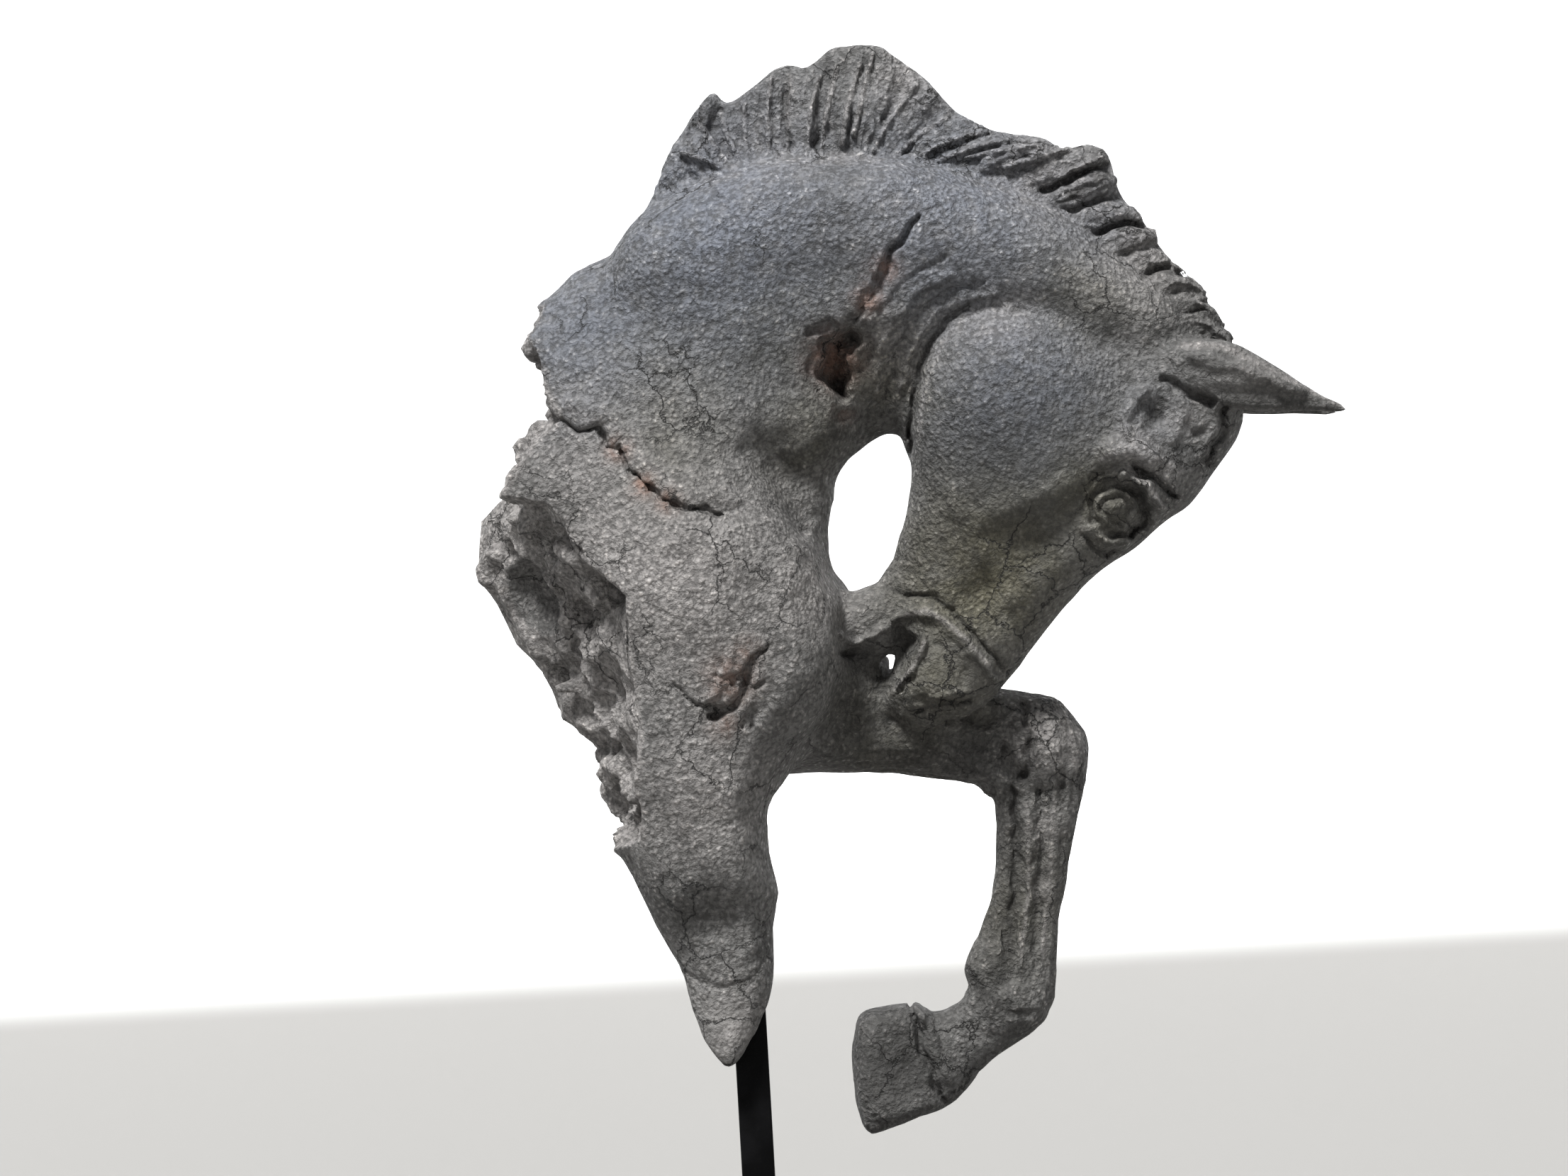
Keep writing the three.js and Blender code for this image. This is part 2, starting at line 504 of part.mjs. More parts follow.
// Crags of the torn clay: folded waves at three sizes.
function crag(y, z) {
  const big = Math.abs(Math.sin(0.11 * z + 0.07 * y + 0.6)) - 0.5;
  const mid = Math.abs(Math.sin(0.23 * y - 0.17 * z + 1.9)) - 0.5;
  const small = Math.abs(Math.sin(0.41 * z + 0.37 * y)) - 0.5;
  return 5.5 * big + 4.0 * mid + 2.0 * small;
}

function breakPlane(x, y, z) {
  const share = smoothstep(y, BREAK_NEAR_Y, BREAK_FAR_Y);
  const skin = lerp(alongPairs(BREAK_NEAR, z), alongPairs(BREAK_FAR, z), share);
  const inside = Math.min(share, 1 - share) * 2;
  return (skin + crag(y, z) * Math.min(1, inside * 1.6) - x) * 0.75;
}

const breakCavity = egg([-94, 2, 196], [16, 12, 15], 20);

// The whole figure as one signed distance, in drawn units.
function figure(x, y, z) {
  let body = melt(torso(x, y, z), neck(x, y, z), 16);
  body = melt(body, stump(x, y, z), 12);
  body = melt(body, farForeleg(x, y, z), 8);
  for (const [shape, fillet] of swellings) {
    body = melt(body, shape(x, y, z), fillet);
  }
  body = melt(body, hoof(x, y, z), 2.5);
  let face = head(x, y, z);
  for (const [shape, fillet] of headSwellings) {
    face = melt(face, shape(x, y, z), fillet);
  }
  body = melt(body, face, 4);
  body = melt(body, nearEar(x, y, z), 4);
  body = melt(body, farEar(x, y, z), 4);
  const locks = readSheet(maneSheet, x, z) * smoothstep(Math.abs(y), 1, 6);
  body = melt(body, maneFin(x, y, z) + locks + 0.6, 3);
  if (Math.abs(body) < 20) {
    const nearSide = smoothstep(-y, -2, 6);
    const facing = x > 60 && z < 175 ? smoothstep(Math.abs(y - 23), 2, 7) : smoothstep(Math.abs(y), 3, 9);
    body += readSheet(carvedSheet, x, z) * facing + readSheet(nearSheet, x, z) * nearSide;
  }
  body = Math.max(body, breakPlane(x, y, z));
  return carve(body, breakCavity(x, y, z), 4);
}

// Surface nets: one point in each cell that the surface crosses, one quad across each crossing.
function meshField(field, box, cell) {
  const nx = Math.ceil((box.x1 - box.x0) / cell) + 1;
  const ny = Math.ceil((box.y1 - box.y0) / cell) + 1;
  const nz = Math.ceil((box.z1 - box.z0) / cell) + 1;
  const at = (i, j, k) => (k * ny + j) * nx + i;
  const value = new Float32Array(nx * ny * nz);
  const sample = (i, j, k) => field(box.x0 + i * cell, box.y0 + j * cell, box.z0 + k * cell);
  const block = 5;
  const near = block * cell * 0.87 + 6;
  for (let k = 0; k < nz; k += block) {
    for (let j = 0; j < ny; j += block) {
      for (let i = 0; i < nx; i += block) {
        const half = (block - 1) / 2;
        const middle = sample(i + half, j + half, k + half);
        for (let c = k; c < Math.min(k + block, nz); c++) {
          for (let b = j; b < Math.min(j + block, ny); b++) {
            for (let a = i; a < Math.min(i + block, nx); a++) {
              value[at(a, b, c)] = Math.abs(middle) > near ? middle : sample(a, b, c);
            }
          }
        }
      }
    }
  }
  const steps = [1, nx, nx * ny];
  const corners = [0, 1, nx, nx + 1, nx * ny, nx * ny + 1, nx * ny + nx, nx * ny + nx + 1];
  closePinches(value, steps, corners);
  const pointOf = new Int32Array(nx * ny * nz).fill(-1);
  const points = [];
  for (let k = 0; k < nz - 1; k++) {
    for (let j = 0; j < ny - 1; j++) {
      for (let i = 0; i < nx - 1; i++) {
        const base = at(i, j, k);
        const centre = crossingCentre(value, base, corners);
        if (centre) {
          pointOf[base] = points.length;
          points.push(new THREE.Vector3(
            box.x0 + (i + centre[0]) * cell, box.y0 + (j + centre[1]) * cell,
              box.z0 + (k + centre[2]) * cell,
          ));
        }
      }
    }
  }
  const triangles = [];
  for (let k = 1; k < nz - 1; k++) {
    for (let j = 1; j < ny - 1; j++) {
      for (let i = 1; i < nx - 1; i++) {
        const base = at(i, j, k);
        for (let axis = 0; axis < 3; axis++) {
          const inside = value[base] < 0;
          if (inside !== value[base + steps[axis]] < 0) {
            const u = steps[(axis + 1) % 3];
            const v = steps[(axis + 2) % 3];
            const quad = [base - u - v, base - v, base, base - u].map((c) => pointOf[c]);
            if (!inside) {
              quad.reverse();
            }
            triangles.push(...splitQuad(points, quad));
          }
        }
      }
    }
  }
  return { points, triangles };
}

// Fill the grid points where two parts of the solid would meet in only an edge or a corner.
function closePinches(value, steps, corners) {
  const filled = -1e-3;
  const inside = (at) => value[at] < 0;
  const last = value.length - corners[7];
  for (let changed = true; changed;) {
    changed = false;
    for (let base = 0; base < last; base++) {
      const mixed = corners.some((corner) => inside(base + corner) !== inside(base));
      for (let axis = 0; mixed && axis < 3; axis++) {
        const u = base + steps[axis];
        const v = base + steps[(axis + 1) % 3];
        const w = v + steps[axis];
        if (inside(base) === inside(w) && inside(u) === inside(v) && inside(base) !== inside(u)) {
          const outer = inside(base) ? [u, v] : [base, w];
          value[value[outer[0]] < value[outer[1]] ? outer[0] : outer[1]] = filled;
          changed = true;
        }
      }
      for (let c = 0; mixed && c < 4; c++) {
        const one = base + corners[c];
        const other = base + corners[7 - c];
        const alike = corners.filter((corner) => inside(base + corner) === inside(one));
        if (inside(one) === inside(other) && alike.length === 2) {
          value[inside(one) ? base + corners[c ^ 1] : one] = filled;
          changed = true;
        }
      }
    }
  }
}

// The mean of the edge crossings of one cell, as shares of the cell, or null.
function crossingCentre(value, base, corners) {
  let inside = 0;
  for (const corner of corners) {
    inside += value[base + corner] < 0 ? 1 : 0;
  }
  if (inside === 0 || inside === 8) {
    return null;
  }
  const sum = [0, 0, 0];
  let count = 0;
  for (let a = 0; a < 8; a++) {
    for (let axis = 0; axis < 3; axis++) {
      const b = a | (1 << axis);
      if (b !== a) {
        const va = value[base + corners[a]];
        const vb = value[base + corners[b]];
        if (va < 0 !== vb < 0) {
          const t = va / (va - vb);
          for (let d = 0; d < 3; d++) {
            sum[d] += ((a >> d) & 1) + (d === axis ? t : 0);
          }
          count++;
        }
      }
    }
  }
  return sum.map((s) => s / count);
}

function splitQuad(points, [a, b, c, d]) {
  const short = points[a].distanceToSquared(points[c]) < points[b].distanceToSquared(points[d]);
  return short ? [[a, b, c], [a, c, d]] : [[a, b, d], [b, c, d]];
}

// Slide each point along the slope of the field until it lies on the surface.
function settle(points, field, step, rounds) {
  const reach = 0.6 * step;
  const probe = 0.25 * step;
  for (const p of points) {
    for (let round = 0; round < rounds; round++) {
      const f = field(p.x, p.y, p.z);
      const slope = new THREE.Vector3(
        field(p.x + probe, p.y, p.z) - field(p.x - probe, p.y, p.z),
        field(p.x, p.y + probe, p.z) - field(p.x, p.y - probe, p.z),
        field(p.x, p.y, p.z + probe) - field(p.x, p.y, p.z - probe),
      ).divideScalar(2 * probe);
      const steepness = slope.lengthSq();
      if (steepness > 0.01) {
        p.addScaledVector(slope, clamp(-f / steepness, -reach, reach));
      }
    }
  }
}

// Keep only the largest connected shell.
function largestShell({ points, triangles }) {
  const root = points.map((_, i) => i);
  const find = (i) => {
    while (root[i] !== i) {
      root[i] = root[root[i]];
      i = root[i];
    }
    return i;
  };
  for (const [a, b, c] of triangles) {
    root[find(a)] = find(b);
    root[find(c)] = find(b);
  }
  const size = new Map();
  for (const [a] of triangles) {
    size.set(find(a), (size.get(find(a)) || 0) + 1);
  }
  const keep = [...size.entries()].sort((p, q) => q[1] - p[1])[0][0];
  return { points, triangles: triangles.filter(([a]) => find(a) === keep) };
}

// A smallest-first queue of [cost, ...data].
class Queue {
  constructor() {
    this.items = [];
  }

  push(item) {
    const items = this.items;
    let i = items.push(item) - 1;
    while (i > 0) {
      const parent = (i - 1) >> 1;
      if (items[parent][0] <= items[i][0]) {
        break;
      }
      [items[parent], items[i]] = [items[i], items[parent]];
      i = parent;
    }
  }

  pop() {
    const items = this.items;
    const first = items[0];
    const last = items.pop();
    if (items.length > 0) {
      items[0] = last;
      let i = 0;
      for (;;) {
        let least = i;
        for (const child of [2 * i + 1, 2 * i + 2]) {
          if (child < items.length && items[child][0] < items[least][0]) {
            least = child;
          }
        }
        if (least === i) {
          break;
        }
        [items[least], items[i]] = [items[i], items[least]];
        i = least;
      }
    }
    return first;
  }
}

// Thin a closed mesh out by merging the edges whose loss changes the shape least.
function thinOut({ points, triangles }, target) {
  const faces = triangles.map((t) => [...t]);
  const around = points.map(() => new Set());
  const error = points.map(() => new Float64Array(10));
  const stamp = new Int32Array(points.length);
  const normalOf = (a, b, c) => new THREE.Vector3().subVectors(b,
    a).cross(new THREE.Vector3().subVectors(c, a));
  faces.forEach((face, index) => {
    const [a, b, c] = face.map((v) => points[v]);
    const n = normalOf(a, b, c);
    const area = n.length() / 2;
    n.normalize();
    const plane = [n.x, n.y, n.z, -n.dot(a)];
    let slot = 0;
    for (let r = 0; r < 4; r++) {
      for (let s = r; s < 4; s++, slot++) {
        for (const v of face) {
          error[v][slot] += plane[r] * plane[s] * area;
        }
      }
    }
    face.forEach((v) => around[v].add(index));
  });

  const neighbours = (v) => {
    const found = new Set();
    around[v].forEach((f) => faces[f].forEach((w) => found.add(w)));
    found.delete(v);
    return found;
  };
  const costAt = (q, p) => q[0] * p.x * p.x + 2 * q[1] * p.x * p.y + 2 * q[2] * p.x * p.z + 2 * q[3] * p.x
    + q[4] * p.y * p.y + 2 * q[5] * p.y * p.z + 2 * q[6] * p.y
    + q[7] * p.z * p.z + 2 * q[8] * p.z + q[9];
  const bestPlace = (q, a, b) => {
    const places = [a, b, new THREE.Vector3().addVectors(a, b).multiplyScalar(0.5)];
    const m = new THREE.Matrix3().set(q[0], q[1], q[2], q[1], q[4], q[5], q[2], q[5], q[7]);
    if (Math.abs(m.determinant()) > 1e-4) {
      const p = new THREE.Vector3(-q[3], -q[6], -q[8]).applyMatrix3(m.invert());
      if (p.distanceTo(places[2]) < 1.5 * a.distanceTo(b)) {
        places.push(p);
      }
    }
    return places.map((p) => [costAt(q, p), p]).sort((s, t) => s[0] - t[0])[0];
  };
  const queue = new Queue();
  const offer = (a, b) => {
    const q = error[a].map((value, i) => value + error[b][i]);
    const [cost, place] = bestPlace(q, points[a], points[b]);
    queue.push([cost + 1e-4 * points[a].distanceToSquared(points[b]), a, b, place, stamp[a] + stamp[b]]);
  };
  const turnsOver = (v, other, place) => {
    for (const f of around[v]) {
      const face = faces[f];
      if (!face.includes(other)) {
        const before = normalOf(...face.map((w) => points[w]));
        const after = normalOf(...face.map((w) => (w === v ? place : points[w])));
        if (after.dot(before) < 0.3 * before.length() * after.length() || after.length() < 0.05) {
          return true;
        }
      }
    }
    return false;
  };

  faces.forEach(([a, b, c]) => [[a, b], [b, c], [c, a]].forEach(([s, t]) => s < t && offer(s, t)));
  let left = faces.length;
  while (left > target && queue.items.length > 0) {
    const [, a, b, place, when] = queue.pop();
    const stale = around[a].size === 0 || around[b].size === 0 || when !== stamp[a] + stamp[b];
    if (stale) {
      continue;
    }
    const ringA = neighbours(a);
    const shared = [...neighbours(b)].filter((v) => ringA.has(v));
    if (!ringA.has(b) || shared.length !== 2 || turnsOver(a, b, place) || turnsOver(b, a, place)) {
      continue;
    }
    for (const f of [...around[b]]) {
      if (faces[f].includes(a)) {
        faces[f].forEach((v) => around[v].delete(f));
        faces[f] = null;
        left--;
      } else {
        faces[f][faces[f].indexOf(b)] = a;
        around[a].add(f);
      }
    }
    around[b].clear();
    points[a] = place.clone();
    error[b].forEach((value, i) => {
      error[a][i] += value;
    });
    stamp[a] += 1;
    neighbours(a).forEach((v) => offer(Math.min(a, v), Math.max(a, v)));
  }
  return { points, triangles: faces.filter((f) => f !== null) };
}

function toGeometry({ points, triangles }) {
  const used = [...new Set(triangles.flat())];
  const place = new Map(used.map((v, i) => [v, i]));
  const geometry = new THREE.BufferGeometry();
  const flat = used.flatMap((v) => points[v].toArray());
  geometry.setAttribute('position', new THREE.Float32BufferAttribute(flat, 3));
  geometry.setIndex(triangles.flat().map((v) => place.get(v)));
  return geometry;
}

const wasm = await initManifold();
wasm.setup();

function toManifold(geometry) {
  return new wasm.Manifold(new wasm.Mesh({
    numProp: 3,
    vertProperties: new Float32Array(geometry.attributes.position.array),
    triVerts: new Uint32Array(geometry.index.array),
  }));
}

function cutAway(geometry, tool) {
  const mesh = toManifold(geometry).subtract(toManifold(tool)).getMesh();
  const result = new THREE.BufferGeometry();
  result.setAttribute('position', new THREE.Float32BufferAttribute(mesh.vertProperties, 3));
  result.setIndex(Array.from(mesh.triVerts));
  return result;
}

// An upright square bar with small bevels along all its edges.
function bar(side, length, bevel) {
  return block(side, side, length, 0.05, bevel);
}

// A plate or bar: a rectangle with rounded corners, extruded upward with bevelled rims.
function block(length, width, height, corner, bevel) {
  const r = Math.max(corner, bevel + 0.05);
  const hx = length / 2 - bevel;
  const hy = width / 2 - bevel;
  const shape = new THREE.Shape();
  const turn = Math.PI / 2;
  shape.absarc(hx - r, hy - r, r, 0, turn);
  shape.absarc(-hx + r, hy - r, r, turn, 2 * turn);
  shape.absarc(-hx + r, -hy + r, r, 2 * turn, 3 * turn);
  shape.absarc(hx - r, -hy + r, r, 3 * turn, 4 * turn);
  const solid = new THREE.ExtrudeGeometry(shape, {
    depth: height - 2 * bevel, curveSegments: 5,
    bevelEnabled: true, bevelThickness: bevel, bevelSize: bevel, bevelSegments: 1,
  });
  solid.translate(0, 0, bevel);
  return weld(solid);
}

// Join the corners that faces share, so that the shell is closed.
function weld(geometry) {
  const source = geometry.attributes.position;
  const seen = new Map();
  const points = [];
  const order = [];
  for (let i = 0; i < source.count; i++) {
    const p = new THREE.Vector3().fromBufferAttribute(source, i);
    const key = p.toArray().map((c) => Math.round(c * 1e4)).join();
    if (!seen.has(key)) {
      seen.set(key, points.length);
      points.push(p);
    }
    order.push(seen.get(key));
  }
  const triangles = [];
  for (let i = 0; i < order.length; i += 3) {
    const [a, b, c] = order.slice(i, i + 3);
    if (a !== b && b !== c && c !== a) {
      triangles.push([a, b, c]);
    }
  }
  return toGeometry({ points, triangles });
}

// Where things stand in the world: the foot rests on z = 0 and the rod rises from its socket.
const rodX = -ROD_LEFT_OF_CENTRE;
const rodY = -ROD_NEAR_OF_CENTRE;
const rodBottom = FOOT_THICKNESS - FOOT_SOCKET_DEPTH + SOCKET_CLEARANCE;
const tipZ = FOOT_THICKNESS + ROD_SHOWING;
const rodTop = tipZ + ROD_IN_FIGURE;

// From drawn units to the world: scale, lean until the rod's line is upright, then lift.
function placeFigure(geometry) {
  const tip = new THREE.Vector3(ROD_PIVOT.x, ROD_PIVOT.y, STUMP_TIP_Z).multiplyScalar(UNIT);
  geometry.scale(UNIT, UNIT, UNIT);
  geometry.translate(-tip.x, -tip.y, -tip.z);
  geometry.rotateY(THREE.MathUtils.degToRad(FIGURE_LEAN));
  geometry.translate(rodX, rodY, tipZ);
  return geometry;
}

function rodSocket() {
  const side = ROD_SIDE + 2 * SOCKET_CLEARANCE;
  const below = 60 * UNIT;
  const tool = new THREE.BoxGeometry(side, side, below + ROD_IN_FIGURE + SOCKET_CLEARANCE);
  tool.translate(rodX, rodY, tipZ + (ROD_IN_FIGURE + SOCKET_CLEARANCE - below) / 2);
  return weld(tool.toNonIndexed());
}

function makeHorse() {
  const box = { x0: -119, x1: 214, y0: -68, y1: 64, z0: -8, z1: 410 };
  const fine = largestShell(meshField(figure, box, CELL));
  settle(fine.points, figure, CELL, 2);
  const carved = toGeometry(thinOut(fine, FIGURE_TRIANGLES));
  const ceramic = new THREE.MeshStandardMaterial({ color: 0x5d5a58, roughness: 0.9, metalness: 0 });
  const mesh = new THREE.Mesh(cutAway(placeFigure(carved), rodSocket()), ceramic);
  mesh.name = 'horse';
  return mesh;
}

function makeRod() {
  const steel = new THREE.MeshStandardMaterial({ color: 0x0c0c0d, roughness: 0.5, metalness: 0.4 });
  const mesh = new THREE.Mesh(bar(ROD_SIDE, rodTop - rodBottom, ROD_EDGE_ROUND), steel);
  mesh.name = 'stand_rod';
  mesh.position.set(rodX, rodY, rodBottom);
  return mesh;
}

function makeFoot() {
  const plate = block(FOOT_LENGTH, FOOT_WIDTH, FOOT_THICKNESS, FOOT_CORNER, ROD_EDGE_ROUND);
  const side = ROD_SIDE + 2 * SOCKET_CLEARANCE;
  const tool = new THREE.BoxGeometry(side, side, FOOT_SOCKET_DEPTH * 2);
  tool.translate(rodX, rodY, FOOT_THICKNESS);
  const steel = new THREE.MeshStandardMaterial({ color: 0x101011, roughness: 0.55, metalness: 0.4 });
  const mesh = new THREE.Mesh(cutAway(plate, weld(tool.toNonIndexed())), steel);
  mesh.name = 'stand_base';
  return mesh;
}

const sculpture = new THREE.Group();
sculpture.add(makeHorse(), makeRod(), makeFoot());

export default sculpture;
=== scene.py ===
"""A weathered ceramic fragment of a horse on a square steel rod with a flat foot."""
import math

import bmesh
import bpy
import numpy as np
from mathutils import Matrix, Vector


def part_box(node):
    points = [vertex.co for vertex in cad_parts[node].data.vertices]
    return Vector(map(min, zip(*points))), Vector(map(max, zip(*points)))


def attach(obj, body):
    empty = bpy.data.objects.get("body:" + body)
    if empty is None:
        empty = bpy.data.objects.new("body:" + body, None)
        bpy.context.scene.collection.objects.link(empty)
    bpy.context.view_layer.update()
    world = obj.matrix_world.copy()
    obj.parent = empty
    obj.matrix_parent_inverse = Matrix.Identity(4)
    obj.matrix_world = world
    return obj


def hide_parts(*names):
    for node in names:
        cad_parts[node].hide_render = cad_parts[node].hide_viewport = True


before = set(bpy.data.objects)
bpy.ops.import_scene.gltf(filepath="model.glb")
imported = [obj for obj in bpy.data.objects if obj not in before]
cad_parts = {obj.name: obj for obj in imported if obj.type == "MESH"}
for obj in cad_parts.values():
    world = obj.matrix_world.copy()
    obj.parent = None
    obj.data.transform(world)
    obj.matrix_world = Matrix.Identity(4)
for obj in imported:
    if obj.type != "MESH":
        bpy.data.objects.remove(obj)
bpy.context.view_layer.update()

bl_info = {
    "name": "Ceramic Horse Fragment",
    "version": (1, 0, 0),
    "blender": (4, 5, 0),
    "location": "View3D > Sidebar > Horse",
    "description": "Builds a weathered ceramic horse fragment, its steel stand and a soft studio stage",
    "category": "Object",
}

# The figure is drawn 400 units tall, one millimetre each, on its own upright side view.
UNIT = 0.001
FIGURE_LEAN = math.radians(3.3)
ROD_IN_FIGURE = 0.086
ROD_PIVOT = Vector((-10.0, -10.0, 28.0)) * UNIT
PHOTO_CENTRE = Vector((1.6, 0.0, 201.0)) * UNIT
PHOTO_WIDTH = 0.5751
PHOTO_SHAPE = 2212 / 1659


def rod_centre():
    """The middle of the rod's top end, from the frame."""
    low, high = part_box("stand_rod")
    return Vector(((low[0] + high[0]) / 2, (low[1] + high[1]) / 2, high[2]))


def figure_placement():
    """The matrix from the figure's own side view to the frame."""
    top = rod_centre()
    tip = Vector((top.x, top.y, top.z - ROD_IN_FIGURE))
    return Matrix.Translation(tip) @ Matrix.Rotation(FIGURE_LEAN, 4, "Y") @ Matrix.Translation(-ROD_PIVOT)


# Smooth union and cut of distances, over whole arrays of points.


def melt(a, b, k):
    """The union of two solids with a fillet k wide between them."""
    h = np.maximum(k - np.abs(a - b), 0.0) / k
    return np.minimum(a, b) - h * h * k / 4


def carve(a, b, k):
    """Solid a less the solid whose negative is b, with a rounded rim."""
    return -melt(-a, b, k)


def smooth_share(value, low, high):
    """0 below low, 1 above high, and a smooth climb between."""
    t = np.clip((value - low) / (high - low), 0.0, 1.0)
    return t * t * (3 - 2 * t)


class Sheet:
    """Numbers over the side view (x, z), read between their points."""

    def __init__(self, x0, x1, z0, z1, cell):
        self.x0, self.z0, self.cell = x0, z0, cell
        self.nx = math.ceil((x1 - x0) / cell) + 1
        self.nz = math.ceil((z1 - z0) / cell) + 1
        self.xs = x0 + np.arange(self.nx) * cell
        self.zs = z0 + np.arange(self.nz) * cell
        self.data = np.zeros((self.nz, self.nx), np.float32)

    def window(self, x0, x1, z0, z1):
        """The slices of the points inside a box."""
        columns = slice(*np.searchsorted(self.xs, (x0, x1)))
        rows = slice(*np.searchsorted(self.zs, (z0, z1)))
        return rows, columns

    def read(self, x, z):
        """The sheet's value at each point, blended from its four neighbours."""
        u = np.clip((x - self.x0) / self.cell, 0, self.nx - 1.001)
        v = np.clip((z - self.z0) / self.cell, 0, self.nz - 1.001)
        i = u.astype(np.int32)
        k = v.astype(np.int32)
        u = u - i
        v = v - k
        flat = self.data.ravel()
        at = k * self.nx + i
        low = flat[at] * (1 - u) + flat[at + 1] * u
        high = flat[at + self.nx] * (1 - u) + flat[at + self.nx + 1] * u
        return low * (1 - v) + high * v


def smooth_outline(points, steps=6):
    """A closed centripetal Catmull-Rom curve through a few points, as a fine polygon."""
    points = np.array(points, float)
    count = len(points)
    polygon = []
    for i in range(count):
        p = [points[(i + d - 1) % count] for d in range(4)]
        gaps = [max(np.linalg.norm(p[d + 1] - p[d]) ** 0.5, 1e-4) for d in range(3)]
        t1 = (p[1] - p[0]) / gaps[0] - (p[2] - p[0]) / (gaps[0] + gaps[1]) + (p[2] - p[1]) / gaps[1]
        t2 = (p[2] - p[1]) / gaps[1] - (p[3] - p[1]) / (gaps[1] + gaps[2]) + (p[3] - p[2]) / gaps[2]
        t1, t2 = t1 * gaps[1], t2 * gaps[1]
        for step in range(steps):
            t = step / steps
            polygon.append(p[1] + t1 * t + (3 * (p[2] - p[1]) - 2 * t1 - t2) * t * t
                           + (2 * (p[1] - p[2]) + t1 + t2) * t ** 3)
    return np.array(polygon)


def distance_to_outline(polygon, x, z):
    """The distance to a closed polygon, negative inside."""
    best = np.full(x.shape, 1e9)
    inside = np.zeros(x.shape, bool)
    for (ax, az), (bx, bz) in zip(np.roll(polygon, 1, axis=0), polygon):
        ex, ez = bx - ax, bz - az
        t = np.clip(((x - ax) * ex + (z - az) * ez) / (ex * ex + ez * ez), 0, 1)
        best = np.minimum(best, (x - ax - t * ex) ** 2 + (z - az - t * ez) ** 2)
        if az != bz:
            inside ^= ((az > z) != (bz > z)) & (x < ax + (z - az) / ez * ex)
    return np.where(inside, -np.sqrt(best), np.sqrt(best))


def softened(data, deep, rounds):
    """A sheet of distances without the creases deep inside its outline."""
    for _ in range(rounds):
        mean = sum(np.roll(data, step, axis) for axis in (0, 1) for step in (-1, 1)) / 4
        data = np.where(data < -deep, mean, data)
    return data


class Swell:
    """An outline swelled to a rounded body: flat-sided where broad, thin where narrow.

    Stations [x, z, centre, half] give the depth at a few places, and it flows between them."""

    MARGIN = 26
    GROWTH = 0.6

    def __init__(self, outline, round_, stations):
        polygon = smooth_outline(outline)
        self.low = polygon.min(axis=0) - self.MARGIN
        self.high = polygon.max(axis=0) + self.MARGIN
        box = (self.low[0], self.high[0], self.low[1], self.high[1])
        self.round = round_
        self.edge = Sheet(*box, 2)
        exact = distance_to_outline(polygon, *np.meshgrid(self.edge.xs, self.edge.zs))
        self.edge.data[:] = softened(exact, round_ * 0.3, 24)
        self.centre = Sheet(*box, 4)
        self.half = Sheet(*box, 4)
        x, z = np.meshgrid(self.centre.xs, self.centre.zs)
        weights = [1 / ((x - sx) ** 2 + (z - sz) ** 2 + 30) ** 1.6 for sx, sz, _, _ in stations]
        total = sum(weights)
        self.centre.data[:] = sum(w * s[2] for w, s in zip(weights, stations)) / total
        self.half.data[:] = sum(w * s[3] for w, s in zip(weights, stations)) / total

    def __call__(self, x, y, z):
        beyond = np.maximum(np.maximum(self.low[0] - x, x - self.high[0]),
                            np.maximum(self.low[1] - z, z - self.high[1]))
        result = beyond + self.MARGIN * 0.7
        near = beyond <= 0
        x, y, z = x[near], y[near], z[near]
        depth = self.half.read(x, z)
        across = np.maximum(self.edge.read(x, z) + self.round - self.GROWTH, 0)
        through = (y - self.centre.read(x, z)) * self.round / depth
        result[near] = (np.hypot(across, through) - self.round) * np.minimum(1, depth / self.round)
        return result


def limb(points):
    """A rounded limb through points [x, y, z, radius]."""
    def distance(x, y, z):
        best = np.full(x.shape, 1e9)
        for (ax, ay, az, ar), (bx, by, bz, br) in zip(points, points[1:]):
            ex, ey, ez = bx - ax, by - ay, bz - az
            along = (x - ax) * ex + (y - ay) * ey + (z - az) * ez
            t = np.clip(along / (ex * ex + ey * ey + ez * ez), 0, 1)
            off = np.sqrt((x - ax - t * ex) ** 2 + (y - ay - t * ey) ** 2 + (z - az - t * ez) ** 2)
            best = np.minimum(best, off - ar - (br - ar) * t)
        return best
    return distance


def egg(centre, radii, turn=0):
    """An egg with half axes [along, through, across], tilted by a turn in the side view."""
    c, s = math.cos(math.radians(turn)), math.sin(math.radians(turn))

    def distance(x, y, z):
        dx = (x - centre[0]) * c + (z - centre[2]) * s
        dz = (z - centre[2]) * c - (x - centre[0]) * s
        dy = y - centre[1]
        rx, ry, rz = radii
        near = np.sqrt((dx / rx) ** 2 + (dy / ry) ** 2 + (dz / rz) ** 2)
        slope = np.sqrt((dx / rx ** 2) ** 2 + (dy / ry ** 2) ** 2 + (dz / rz ** 2) ** 2)
        return near * (near - 1) / np.maximum(slope, 1e-6)
    return distance


# The masses of the body. Every outline point is (x, z) in drawn units.
TORSO = dict(
    outline=[(-130, 262), (-90, 268), (-40, 262), (0, 250), (11, 238), (12.5, 223), (16, 208),
             (22, 196), (23, 183), (25, 172), (20, 161), (9, 146), (0, 134), (-20, 124), (-45, 112),
             (-75, 112), (-100, 150), (-130, 200)],
    round_=44,
    stations=[(-90, 225, 0, 40), (-30, 205, -9, 46), (12, 215, -4, 34), (15, 172, -8, 34),
              (-30, 140, -15, 32), (-80, 160, 0, 36), (-20, 250, 0, 38)])

